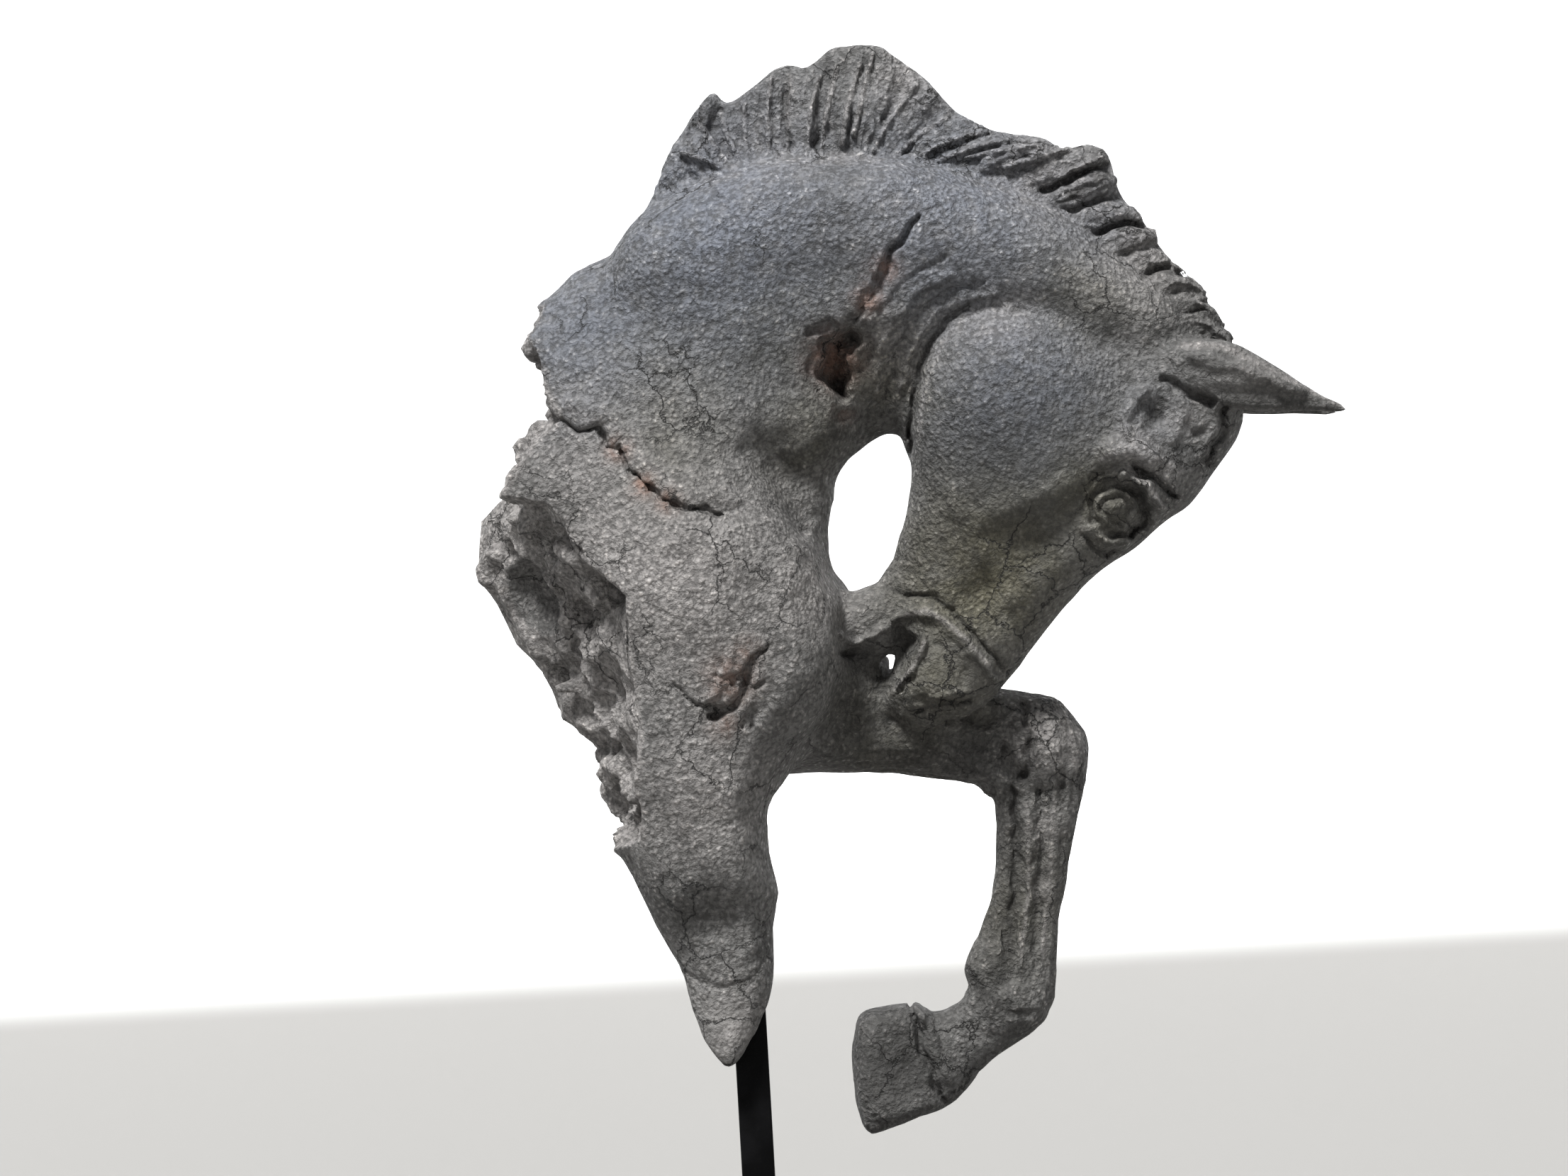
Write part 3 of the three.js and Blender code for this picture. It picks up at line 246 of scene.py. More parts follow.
STUMP = dict(
    outline=[(-60, 150), (-40, 172), (-6, 160), (-1.5, 138), (-5.2, 122), (-4.5, 108), (-1.6, 90),
             (-2.5, 78), (-3, 60), (-6, 48), (-12, 35), (-18, 28), (-23.5, 33), (-31, 48), (-35, 61),
             (-46, 82), (-56, 103), (-66, 125)],
    round_=17,
    stations=[(-30, 140, -22, 27), (-30, 105, -20, 23), (-20, 70, -15, 18), (-17, 48, -17, 15),
              (-17, 36, -24, 8), (-18, 28, -26, 6)])

NECK = dict(
    outline=[(-104, 262), (-106, 285), (-96, 298), (-84, 307.5), (-74, 317), (-62, 322), (-54, 332),
             (-45, 343), (-30, 352), (-10, 360), (14, 362), (42, 360), (64, 356), (86, 350), (106, 339),
             (126, 324), (143, 310), (156, 297), (158, 284), (140, 272), (110, 268), (80, 268),
             (60, 262), (50, 252), (45, 257), (38, 257.5), (29, 252), (17.5, 242), (12, 229), (5, 212),
             (-15, 200), (-55, 200), (-92, 225)],
    round_=46,
    stations=[(-75, 285, 0, 33), (-30, 300, 0, 37), (30, 315, 0, 33), (85, 325, 0, 27),
              (135, 305, 0, 21), (-40, 230, -4, 41), (8, 255, 0, 27), (42, 265, 0, 20), (70, 285, 0, 21)])

HEAD = dict(
    outline=[(49.5, 247), (50, 262), (53, 277), (60, 293), (72, 302), (88, 305), (104, 303),
             (122, 298), (140, 297), (156, 291), (166, 281), (169.5, 265), (167, 256), (159, 244),
             (150, 232), (141, 226), (130, 216), (119, 209), (108, 199), (98, 187), (86, 171),
             (77, 160), (68, 153), (56, 152), (46, 157), (41, 164), (42.5, 171.5), (42.6, 177.6),
             (38.4, 176.8), (34.2, 172.8),
             (26, 172), (20, 178), (18, 187), (22, 195), (30, 197.5), (38, 201.5), (42.5, 211),
             (46.5, 226)],
    round_=22,
    stations=[(82, 270, -3, 30), (62, 250, -2, 23), (125, 258, 0, 26), (123, 228, 0, 24),
              (152, 262, 0, 22), (98, 215, 0, 21), (72, 190, 3, 18), (60, 166, 3, 17), (30, 186, 3, 12),
              (122, 288, 0, 23), (95, 245, -1, 25)])

FAR_FORELEG = dict(
    outline=[(-14, 172), (22, 173.5), (36, 171.8), (46, 167), (70, 160), (80, 163), (92, 160.8), (101, 159),
             (107.5, 152), (113, 144.5), (113, 132), (110, 117), (106.5, 101), (103.5, 82), (101.5, 62),
             (100, 47), (97, 41), (86, 32.5), (75, 24), (66, 13), (52, 8), (42, 20), (48, 44),
             (59, 43.5), (66, 47), (70.5, 53), (69, 60), (75, 73), (80, 88), (81.5, 105), (81, 120),
             (76, 127), (66, 130), (50, 132.5), (10, 134.8), (-14, 136)],
    round_=11,
    stations=[(5, 152, 16, 27), (50, 148, 21, 19), (75, 146, 23, 15), (98, 147, 23, 15.5),
              (96, 118, 23, 11), (92, 85, 23, 9.5), (86, 62, 23, 11), (84, 46, 23, 14), (68, 32, 22, 11),
              (48, 25, 22, 14)])

HOOF = dict(
    outline=[(28.5, 36), (30, 42.5), (38, 45.5), (46, 46.5), (52, 46.5), (54, 34), (58, 20),
             (60.5, 11), (50, 5.5), (40, 1.5), (33, 0), (30.5, 5), (28.5, 18), (28, 28)],
    round_=4,
    stations=[(30, 22, 22, 17.5), (52, 28, 22, 14)])

MANE_FIN = dict(
    outline=[(-47, 338), (-43.5, 352), (-36, 368), (-29, 379), (-24, 382.5), (-19.5, 379),
             (-9, 386), (1, 392), (10, 392), (18, 398.5), (27, 400.5), (37, 400), (46, 393),
             (56, 385), (66, 375), (82, 367.5), (97, 365.5), (103, 361.5), (113, 363), (119.5, 360),
             (124.5, 346), (132, 338), (140, 325), (146.5, 317), (152.5, 310.5), (159.5, 301.5),
             (165, 289.5),
             (158, 284), (140, 300), (118, 318), (90, 334), (55, 344), (20, 348), (-20, 342)],
    round_=7,
    stations=[(-30, 352, 0, 10), (-28, 378, 0, 5), (20, 366, 0, 11), (25, 399, 0, 5),
              (80, 354, 0, 10), (70, 372, 0, 6), (108, 348, 0, 10), (128, 334, 0, 9), (154, 302, 0, 11)])

EAR_OUTLINE = [(140, 286), (148, 290.5), (158, 291), (166, 289), (176, 283.5), (186, 277.2),
               (196, 271), (206, 266), (192, 266), (180, 265.8), (169, 266.3), (157, 268.5),
               (147, 275)]


def ear(side):
    """An ear pointing forward, hollow below; side is -1 near and +1 far."""
    shell = Swell(EAR_OUTLINE, 8, [(148, 283, 17 * side, 10), (172, 277, 19 * side, 9),
                                   (203, 267, 19 * side, 3)])
    hollow = limb([(156, 28 * side, 271, 3.6), (178, 28 * side, 270, 3.4), (192, 24 * side, 268.5, 1.6)])
    return lambda x, y, z: carve(shell(x, y, z), hollow(x, y, z), 2)


# Muscles and bones that swell the masses: (shape, fillet).
BODY_SWELLINGS = [
    (egg((-26, -34, 198), (38, 24, 42), 35), 20),
    (egg((-6, -32, 170), (22, 19, 26), -10), 14),
    (egg((-32, -28, 128), (17, 19, 34), 12), 12),
    (egg((2, 24, 176), (30, 22, 34), 0), 20),
    (egg((18, 22, 155), (36, 19, 16), 0), 10),
    (limb([(-40, -20, 318, 18), (0, -20, 333, 17), (40, -19, 336, 16), (90, -16, 322, 13),
           (134, -12, 298, 9)]), 12),
    (limb([(-60, -14, 270, 22), (-20, -18, 262, 20), (6, -14, 262, 12)]), 16),
    (egg((96, 23, 144), (13.5, 16.5, 15), 0), 7),
    (egg((84, 23, 47), (12, 13.5, 10), 30), 6),
    (limb([(20, 20, 160, 9), (56, 16, 150, 8), (84, 18, 150, 6)]), 8),
]

HEAD_SWELLINGS = [
    (egg((85, -12, 266), (36, 24, 38), 20), 12),
    (egg((85, 10, 266), (36, 24, 38), 20), 12),
    (egg((126, 0, 252), (17, 27, 12), 60), 9),
    (egg((136, 0, 240), (11, 23, 8), 50), 6),
    (limb([(66, -4, 182, 12), (60, -4, 168, 12), (52, -1, 161, 9)]), 6),
    (egg((30, 4, 188), (9, 13, 10.5), 30), 5),
    (limb([(36, 5, 189, 8), (52, 3, 204, 8), (64, 1, 226, 9)]), 8),
]

# Relief drawn on the side view. A stroke is a path of (x, z, half width) with its depth; a depth
# below zero raises the surface.


def path_distance(path, x, z):
    """The distance to a path, as a share of its half width there."""
    best = np.full(np.broadcast(x, z).shape, 1e9)
    for (ax, az, aw), (bx, bz, bw) in zip(path, path[1:]):
        ex, ez = bx - ax, bz - az
        t = np.clip(((x - ax) * ex + (z - az) * ez) / max(ex * ex + ez * ez, 1e-9), 0, 1)
        width = np.maximum(aw + (bw - aw) * t, 0.1)
        best = np.minimum(best, np.hypot(x - ax - t * ex, z - az - t * ez) / width)
    return best


def soft(t):
    """A stroke's profile with a wide foot."""
    return np.maximum(1 - t * t, 0) ** 2


def full(t):
    """A stroke's profile as round as a lock of hair."""
    return np.sqrt(np.maximum(1 - t * t, 0))


def dot(x, z, width, depth):
    """A round mark, as a stroke."""
    return [(x, z, width), (x + 0.1, z, width)], depth


def ring(x, z, radius, width, depth):
    """A stroke all round a circle."""
    turns = [2 * math.pi * k / 16 for k in range(17)]
    return [(x + radius * math.cos(t), z + radius * math.sin(t), width) for t in turns], depth


def wavering(x, z):
    """Places shifted a little this way and that, so that no line is quite even."""
    along = 0.6 * np.sin(0.31 * x + 0.53 * z) + 0.3 * np.sin(0.9 * x - 0.7 * z + 1.0)
    across = 0.6 * np.sin(0.43 * z - 0.37 * x + 2.0) + 0.3 * np.sin(0.8 * z + 0.7 * x)
    return x + along, z + across


# The part of the side view that sheets of relief cover.
REACH = (-112, 210, -6, 408)


def path_window(sheet, path, margin):
    """The slices of a sheet's points near a path, and their shifted places."""
    rows, columns = sheet.window(min(p[0] for p in path) - margin, max(p[0] for p in path) + margin,
                                 min(p[1] for p in path) - margin, max(p[1] for p in path) + margin)
    return (rows, columns), wavering(sheet.xs[None, columns], sheet.zs[rows, None])


def draw_strokes(strokes, cell):
    """A sheet with all strokes added up."""
    sheet = Sheet(*REACH, cell)
    for path, depth in strokes:
        window, places = path_window(sheet, path, max(width for _, _, width in path) + 1)
        sheet.data[window] += depth * soft(path_distance(path, *places))
    return sheet


# Locks of the mane: root, bend and tip in the side view, with the half width at the bend.
LOCKS = [
    ((-42, 340), (-43, 350), (-37, 364), 5),
    ((-33, 344), (-39, 356), (-33, 372), 5),
    ((-22, 349), (-30, 362), (-27, 379), 6),
    ((-12, 354), (-17, 368), (-21, 378), 4.5),
    ((-8, 356), (-11, 372), (-10, 385), 4),
    ((-2, 358), (-4, 374), (-2, 389), 4),
    ((9, 359), (8, 376), (9, 391), 4.5),
    ((21, 359), (22, 378), (27, 398), 5),
    ((30, 359), (33, 377), (38, 397), 5.5),
    ((38, 359), (46, 372), (57, 382), 5),
    ((48, 357), (60, 366), (72, 371), 4.5),
    ((60, 359), (74, 364), (90, 366), 4.5),
    ((76, 356), (89, 360.5), (102, 361), 4.5),
    ((91, 350), (103, 356), (117, 360), 5),
    ((101, 343), (111, 347), (120, 350), 4),
    ((110, 335), (120, 338), (130, 338), 4),
    ((118, 325), (128, 329), (136, 330), 4),
    ((126, 318), (134, 322), (141, 321), 3.5),
    ((136, 311), (146, 314), (155, 310), 4.5),
    ((142, 305), (153, 306), (162, 299), 4.5),
    ((147, 299), (157, 299), (165, 291), 4),
]

# How much higher or lower each lock stands than the others, and how deep the gap after it is.
LOCK_LIFTS = (0.5, 0.2, 0.6, 0.3, 0.4, 0.15, 0.35, 0.25, 0.6, 0.3, 0.55, 0.3, 0.7, 0.5, 0.9, 0.45, 1.0,
              0.4, 0.95, 0.5, 0.8)
LOCK_GAPS = (0.5, 1.4, 0.3, 0.8, 0.4, 1.1, 0.5, 0.3, 0.9, 0.8, 0.5, 0.7, 0.6, 3.4, 1.2, 3.0, 0.8, 2.6,
             1.0, 1.4)


# Thin combed lines, from the root to the tip: raised on the mane, and painted as highlights on it too.
MANE_LINES = [
    ((-17, 352), (-27, 357), (-36, 360)), ((-16, 353), (-24, 363), (-30, 372)),
    ((-14, 356), (-19, 366), (-22, 375)),
    ((-11.5, 358), (-13, 368), (-13, 378)), ((-4, 359), (-4.5, 373), (-3, 388)),
    ((3, 359), (3, 372), (4, 388)),
    ((10, 359), (11, 373), (14.5, 388)), ((15, 359), (17, 374), (21, 392)),
    ((22.5, 362), (25, 377), (29.5, 393)),
    ((27, 366), (30, 380), (34, 396)), ((34, 360), (40, 372), (50, 385)), ((42, 358), (50, 366), (62, 374)),
    ((51, 359), (63, 364.5), (76, 368)), ((58, 357), (70, 362), (84, 365)),
    ((68, 358), (81, 361), (94, 363)),
    ((82, 354), (93, 357.5), (106, 361.5)), ((97, 347), (106, 352.5), (118, 358.5)),
]


def gap_path(number):
    """The path between a lock and the next."""
    pairs = zip(LOCKS[number][:3], LOCKS[number + 1][:3], (1.6, 2.5, 1.5))
    return [((one[0] + other[0]) / 2, (one[1] + other[1]) / 2, width) for one, other, width in pairs]


def line_path(line):
    """A thin line's path, widest at its bend."""
    return [(*place, width) for place, width in zip(line, (1.0, 1.8, 1.2))]


def strongest(paths, x, z):
    """The highest profile of several paths at each point."""
    value = np.zeros(len(x))
    for path in paths:
        value = np.maximum(value, soft(path_distance(path, x, z)))
    return value


def draw_mane(cell):
    """A sheet with the highest lock at each place, and fine hairs combed along the locks."""
    sheet = Sheet(*REACH, cell)
    for number, (root, bend, tip, width) in enumerate(LOCKS):
        path = [(*root, width * 0.9), (*bend, width * 1.3), (*tip, width * 0.9)]
        window, places = path_window(sheet, path, 8)
        share = path_distance(path, *places)
        hairs = 0.22 * np.cos(share * 12 + number * 2) * (share < 1)
        height = full(share) * (0.8 + width * 0.4 * LOCK_LIFTS[number]) * (1 + hairs)
        sheet.data[window] = np.minimum(sheet.data[window], -height)
    across, up = sheet.xs[None, :], sheet.zs[:, None]
    x, z = wavering(across, up)
    for number, depth in enumerate(LOCK_GAPS):
        sheet.data += depth * soft(path_distance(gap_path(number), x, z))
    for line in MANE_LINES:
        sheet.data -= 2.0 * soft(path_distance(line_path(line), across, up))
    sheet.data += 2.4 * soft(path_distance([(-24, 369, 4), (-22, 375, 3)], across, up))
    return sheet


# Carving that both sides share: face, tendons, knee and hoof.
CARVED = [
    dot(122, 230, 14, 3.6),
    dot(121.8, 229.8, 9.0, -5.6),
    ring(121.8, 229.8, 4.6, 1.2, 1.5),
    ring(121.8, 229.8, 6.9, 1.4, -1.4),
    ring(122.2, 229.6, 9.4, 1.7, 1.6),
    dot(121.8, 229.8, 1.9, -0.9),
    ([(126, 240.5, 1.6), (132.5, 233, 2.6), (133, 224, 2.8), (127, 219.5, 1.4)], 3.0),
    ([(124, 241.5, 2.2), (132, 238, 3), (139.5, 229.5, 2.4)], -4.0),
    ([(128, 245.5, 1.6), (136, 240.5, 2.2), (143.5, 234, 1.8)], 3.2),
    ([(115, 223, 2.4), (119, 218.6, 3.4), (126, 216.5, 2.6)], -2.4),
    ([(110, 220.5, 1.4), (114, 215.5, 1.9), (119, 213, 1.9), (124, 214.5, 1.3)], 2.0),
    ([(110, 236, 1.4), (114, 242, 1.8), (121, 244, 1.4)], 1.4),
    ([(119, 250, 6), (127, 251.5, 8.5), (135, 248, 6)], -3.6),
    dot(136, 264, 7.5, 4.0),
    ([(126, 257, 2.6), (126, 266, 3.6), (132, 273, 3.4)], -2.2),
    ([(143, 256, 3), (147, 263, 3.6), (146, 271, 3)], -2.0),
    dot(152.4, 257, 4, 2),
    ([(159, 268, 2), (158, 257, 2.4), (153, 249, 2)], -1.4),
    ([(162, 267, 1.5), (161, 257, 1.9), (154, 248, 1.4), (160, 243, 1)], 2.2),
    ([(104, 238, 7), (90, 232, 10), (74, 226, 7)], -1.6),
    ([(107, 231, 7), (95, 220, 12), (82, 208, 12), (70, 197, 8)], 2.0),
    ([(62, 236, 5), (72, 218, 6), (84, 196, 5)], -1.2),
    ([(38.5, 166.5, 1.8), (41, 171, 2.8), (46, 181, 5), (43.5, 184.5, 3.6)], 2.4),
    ([(23, 177, 2.2), (29, 176, 2.8), (34, 177, 2.2)], 2.2),
    ([(22, 184, 2), (27, 181, 2.4), (35, 183, 2.6), (41, 188, 2.2)], -1.6),
    ([(53, 183, 1.6), (49.5, 174, 2.2), (41.5, 163, 1.4)], -2.4),
    ([(42, 189, 2), (49, 192.5, 3), (56, 192, 3.6), (64, 185, 3.4), (72, 177, 3), (78.5, 168, 2)], -2.8),
    ([(36, 203, 1.2), (46, 198.5, 1.6), (57, 197.5, 1.6), (66, 189.5, 1.3), (76, 178, 1.3), (82, 171, 1)],
     1.9),
    ([(58, 181, 3), (64, 174, 4), (68, 165, 3)], 1.4),
    ([(49, 156, 1.2), (58, 158, 1.6), (70, 160.8, 1.2)], 1.6),
    ([(52, 160, 1.4), (60, 162, 1.8), (69, 163.5, 1.2)], -1.0),
    ([(86, 128, 2), (87.5, 112, 3.6), (87.5, 90, 3.8), (84, 66, 3)], 2.4),
    ([(96, 126, 2), (96, 96, 2.6), (94, 62, 2)], 1.6),
    ([(92, 122, 2), (92.5, 90, 2.2), (89, 62, 2)], -1.0),
    ([(83, 143, 3), (84, 136, 5), (89, 131, 3)], 2.6),
    ([(89, 158, 2), (93, 146, 3), (90, 132, 2)], 2.2),
    ([(104, 150, 3), (106, 140, 4), (104, 128, 3)], 1.2),
    ([(30, 158, 5), (52, 153, 6), (76, 153, 4)], 1.5),
    ([(78, 57, 3), (82, 46, 4), (92, 44, 3)], 1.2),
    ([(49, 46, 1.8), (52, 32, 2), (57, 20, 1.8), (61, 11, 1.6)], 1.8),
    ([(54, 44, 2.6), (57, 32, 3), (62, 20, 2.4)], -1.4),
    ([(150, 285, 4), (166, 281, 4.4), (190, 272, 2.6)], -1.8),
    ([(140, 277, 2.4), (149, 271, 2.8), (158, 268.5, 2)], 2.6),
]

# Folds and damage on the near side only: throat, crack with its step, hole, gouges and chips.
MAIN_CRACK = [(-80, 262, 1.1), (-72, 257.5, 1.6), (-66, 259, 1.3), (-61, 252.5, 1.9), (-57, 250, 1.5),
              (-54, 243, 2.1), (-50, 239.5, 1.6), (-46, 236.5, 2.2), (-43, 232, 1.5), (-37, 231.5, 2.1),
              (-33, 228, 1.4), (-26, 229.5, 1.6), (-20, 227, 0.9)]
NEAR_SIDE = [
    ([(40.5, 169, 1.8), (46.5, 181, 4.6), (43.5, 185, 3.4)], 4.2),
    ([(24, 177, 2), (31, 177, 2.6)], 1.6),
    ([(47.5, 250, 1.4), (48, 263, 1.7), (50, 276, 1.9), (54, 288, 1.9), (60.5, 298, 1.7), (69, 304, 1.4)],
     1.7),
    ([(78, 307, 2), (66, 306, 2.4), (55, 299, 2.4), (48, 288, 2.4), (44.5, 274, 2.2)], -1.4),
    ([(74, 312, 1.4), (60, 308, 1.7), (49, 299, 1.9), (42.5, 286, 1.9), (39.5, 271, 1.5)], 1.3),
    ([(62, 315, 1.8), (50, 309, 2.2), (41, 298, 2.4), (36.5, 285, 2.2), (35, 272, 1.6)], -1.2),
    ([(60, 320, 1.4), (46, 313, 1.8), (36, 300, 2), (31.5, 286, 1.7)], 1.0),
    ([(28, 286, 1.5), (36, 284, 2), (45, 277, 1.4)], 1.0),
    (MAIN_CRACK, 3.2),
    ([(x + 4, z + 6, w * 4.4) for x, z, w in MAIN_CRACK], -2.0),
    ([(50, 336, 1.4), (46, 329, 2.6), (40, 322, 2.4), (37, 312, 3.6), (30, 303, 2.8), (26, 297, 3.2)], 3.2),
    ([(26, 292, 5), (20, 288, 7), (19.5, 280, 8), (22, 273, 5)], 13),
    ([(30, 296, 2.4), (34, 288, 2.8), (29, 280, 2.4)], 2.2),
    ([(11, 293, 2.6), (19, 296, 3.2), (30, 292, 2.4)], 2.6),
    ([(12, 284, 2), (11, 276, 2.4), (15, 270, 1.6)], 1.4),
    dot(23, 264, 4.5, 2.2),
    ([(-4, 180, 1.2), (-9, 176, 2.4), (-12, 170, 3.0), (-13, 164, 2.4), (-18, 158, 3.4), (-25, 155, 1.6)],
     3.2),
    ([(-6, 168, 1.2), (-12, 164, 2.0), (-10, 157, 1.8), (-13, 151, 1.2)], 1.5),
    ([(-22, 170, 2.2), (-17, 167, 3.0), (-12, 171, 2.4)], 1.0),
    ([(-18, 176, 2.4), (-21, 166, 3.0), (-27, 159, 2.0)], -1.3),
    ([(-12, 168, 2), (-8, 160, 2.6), (-10, 152, 1.4)], 1.6),
    ([(-37, 166, 1), (-30, 159, 1.5), (-22, 158, 1)], 1.6),
    ([(0, 196, 10), (8, 176, 9), (2, 158, 7)], -1.8),
    ([(-6, 252, 12), (3, 236, 13), (6, 222, 8)], 2.6),
    ([(-30, 250, 14), (-10, 240, 10), (4, 214, 8)], -2.0),
    ([(-34, 222, 12), (-14, 216, 13), (4, 204, 9)], -2.0),
    ([(-44, 122, 5), (-32, 100, 8), (-22, 78, 6)], 0.9),
    ([(-18, 128, 6), (-12, 100, 7), (-10, 70, 5)], -1.4),
    ([(-34, 62, 0.8), (-24, 56, 1.2), (-10, 60, 1.1), (-4, 68, 0.8)], 0.7),
]

# The break on the left: pairs (z, x) along the near skin and along the far rim.
BREAK_NEAR = [(102, -75), (110, -50), (130, -51), (150, -50), (172, -54), (198, -55), (204, -62),
              (212, -71), (224, -77), (231, -84), (235, -99), (244, -94), (254, -89), (262, -79),
              (270, -83), (278, -89), (290, -95), (300, -97), (312, -100)]
BREAK_FAR = [(101, -75), (107, -60), (125, -65), (133, -67), (143, -67), (147, -75), (153, -79.5),
             (171, -86.5), (181, -97), (195, -105), (203, -110.5), (226, -111), (234, -100), (252, -90),
             (262, -77), (278, -80), (300, -82), (312, -88)]
BREAK_NEAR_Y = -44
BREAK_FAR_Y = 30


def crag(y, z):
    """Crags of the torn clay: folded waves at three sizes."""
    big = np.abs(np.sin(0.11 * z + 0.07 * y + 0.6)) - 0.5
    mid = np.abs(np.sin(0.23 * y - 0.17 * z + 1.9)) - 0.5
    small = np.abs(np.sin(0.41 * z + 0.37 * y)) - 0.5
    return 5.5 * big + 4.0 * mid + 1.0 * small


def break_plane(x, y, z):
    """The distance past the torn face, positive where the clay is gone."""
    share = smooth_share(y, BREAK_NEAR_Y, BREAK_FAR_Y)
    near = np.interp(z, *zip(*BREAK_NEAR))
    far = np.interp(z, *zip(*BREAK_FAR))
    inside = np.minimum(share, 1 - share) * 2
    return (near + (far - near) * share + crag(y, z) * np.minimum(1, inside * 1.6) - x) * 0.75


class HorseForm:
    """The whole figure as one signed distance, in drawn units."""

    def __init__(self, sheet_cell):
        self.torso = Swell(**TORSO)
        self.neck = Swell(**NECK)
        self.stump = Swell(**STUMP)
        self.far_foreleg = Swell(**FAR_FORELEG)
        self.hoof = Swell(**HOOF)
        self.head = Swell(**HEAD)
        self.ears = [ear(-1), ear(1)]
        self.fin = Swell(**MANE_FIN)
        self.mane = draw_mane(sheet_cell)
        self.carved = draw_strokes(CARVED, sheet_cell)
        self.near_side = draw_strokes(NEAR_SIDE, sheet_cell)
        self.cavity = egg((-94, 2, 196), (16, 12, 15), 20)

    def __call__(self, x, y, z):
        body = melt(self.torso(x, y, z), self.neck(x, y, z), 16)
        body = melt(body, self.stump(x, y, z), 12)
        body = melt(body, self.far_foreleg(x, y, z), 8)
        for shape, fillet in BODY_SWELLINGS:
            body = melt(body, shape(x, y, z), fillet)
        body = melt(body, self.hoof(x, y, z), 2.5)
        face = self.head(x, y, z)
        for shape, fillet in HEAD_SWELLINGS:
            face = melt(face, shape(x, y, z), fillet)
        body = melt(body, face, 4)
        for one in self.ears:
            body = melt(body, one(x, y, z), 4)
        locks = self.mane.read(x, z) * smooth_share(np.abs(y), 1, 6)
        body = melt(body, self.fin(x, y, z) + locks + 0.6, 3)
        on_leg = (x > 60) & (z < 175)
        facing = np.where(on_leg, smooth_share(np.abs(y - 23), 2, 7), smooth_share(np.abs(y), 3, 9))
        relief = self.carved.read(x, z) * facing + self.near_side.read(x, z) * smooth_share(-y, -2, 6)
        body = np.where(np.abs(body) < 20, body + relief, body)
        body = np.maximum(body, break_plane(x, y, z))
        return carve(body, self.cavity(x, y, z), 4)


# Meshing: surface nets, one point in each cell that the surface crosses.

FIELD_LOW = np.array([-119.0, -68.0, -8.0])
FIELD_HIGH = np.array([214.0, 64.0, 410.0])
BLOCK = 4
POINTS_AT_ONCE = 400000

# The spacing of the numbers on the sheets of relief, in drawn units.
RELIEF_CELL = 0.5


def sample_field(field, cell):
    """The field on a grid, worked out point by point only in the blocks near the surface."""
    blocks = np.ceil((FIELD_HIGH - FIELD_LOW) / (cell * BLOCK)).astype(int)
    middle = [FIELD_LOW[d] + (np.arange(blocks[d]) * BLOCK + (BLOCK - 1) / 2) * cell for d in range(3)]
    bx, by, bz = (a.ravel() for a in np.meshgrid(*middle, indexing="ij"))
    coarse = field(bx, by, bz)
    value = np.repeat(np.repeat(np.repeat(
        coarse.reshape(blocks).astype(np.float32), BLOCK, 0), BLOCK, 1), BLOCK, 2)
    near = np.abs(coarse) < BLOCK * cell * 1.5 + 2.5
    corner = np.argwhere(near.reshape(blocks)) * BLOCK
    inner = np.stack(np.meshgrid(*[np.arange(BLOCK)] * 3, indexing="ij"), -1).reshape(1, -1, 3)
    index = (corner[:, None, :] + inner).reshape(-1, 3)
    for part in np.array_split(index, max(1, len(index) // POINTS_AT_ONCE)):
        p = FIELD_LOW + part * cell
        value[tuple(part.T)] = field(p[:, 0], p[:, 1], p[:, 2])
    return value


def surface_nets(value, cell):
    """Points and quads of the surface where the sampled field changes sign."""
    inside = value < 0
    corners = [(a, b, c) for a in (0, 1) for b in (0, 1) for c in (0, 1)]

    def shifted(array, corner):
        return array[tuple(slice(o, array.shape[d] - 1 + o) for d, o in enumerate(corner))]

    count = sum(shifted(inside, corner).astype(np.int8) for corner in corners)
    cells = np.argwhere((count > 0) & (count < 8))
    number = np.full(count.shape, -1, np.int32)
    number[tuple(cells.T)] = np.arange(len(cells))
    total = np.zeros((len(cells), 3))
    hits = np.zeros(len(cells))
    for axis in range(3):
        for corner in corners:
            if corner[axis] == 0:
                other = list(corner)
                other[axis] = 1
                a = value[tuple((cells + corner).T)].astype(float)
                b = value[tuple((cells + other).T)].astype(float)
                crossed = (a < 0) != (b < 0)
                t = np.where(crossed, a / np.where(crossed, a - b, 1), 0)
                for d in range(3):
                    total[:, d] += np.where(crossed, corner[d] + (t if d == axis else 0), 0)
                hits += crossed
    points = FIELD_LOW + (cells + total / hits[:, None]) * cell
    quads = []
    for axis in range(3):
        step = np.eye(3, dtype=int)[axis]
        u = np.eye(3, dtype=int)[(axis + 1) % 3]
        v = np.eye(3, dtype=int)[(axis + 2) % 3]
        here = inside[1:-1, 1:-1, 1:-1]
        there = inside[tuple(slice(1 + s, inside.shape[d] - 1 + s) for d, s in enumerate(step))]
        at = np.argwhere(here != there) + 1
        flip = ~inside[tuple(at.T)]
        quad = np.stack([number[tuple((at - o).T)] for o in (u + v, v, 0 * u, u)], 1)
        quad[flip] = quad[flip][:, ::-1]
        quads.append(quad)
    return points, np.concatenate(quads)


def settle(points, field, step, rounds):
    """Slide each point along the field's slope until it lies on the surface."""
    probe = 0.3 * step
    for _ in range(rounds):
        f = field(*points.T)
        slope = np.stack([field(*(points + probe * axis).T) - field(*(points - probe * axis).T)
                          for axis in np.eye(3)], 1) / (2 * probe)
        steep = (slope ** 2).sum(axis=1)
        move = np.clip(-f / np.maximum(steep, 0.05), -0.6 * step, 0.6 * step)
        points = points + slope * move[:, None]
    return points


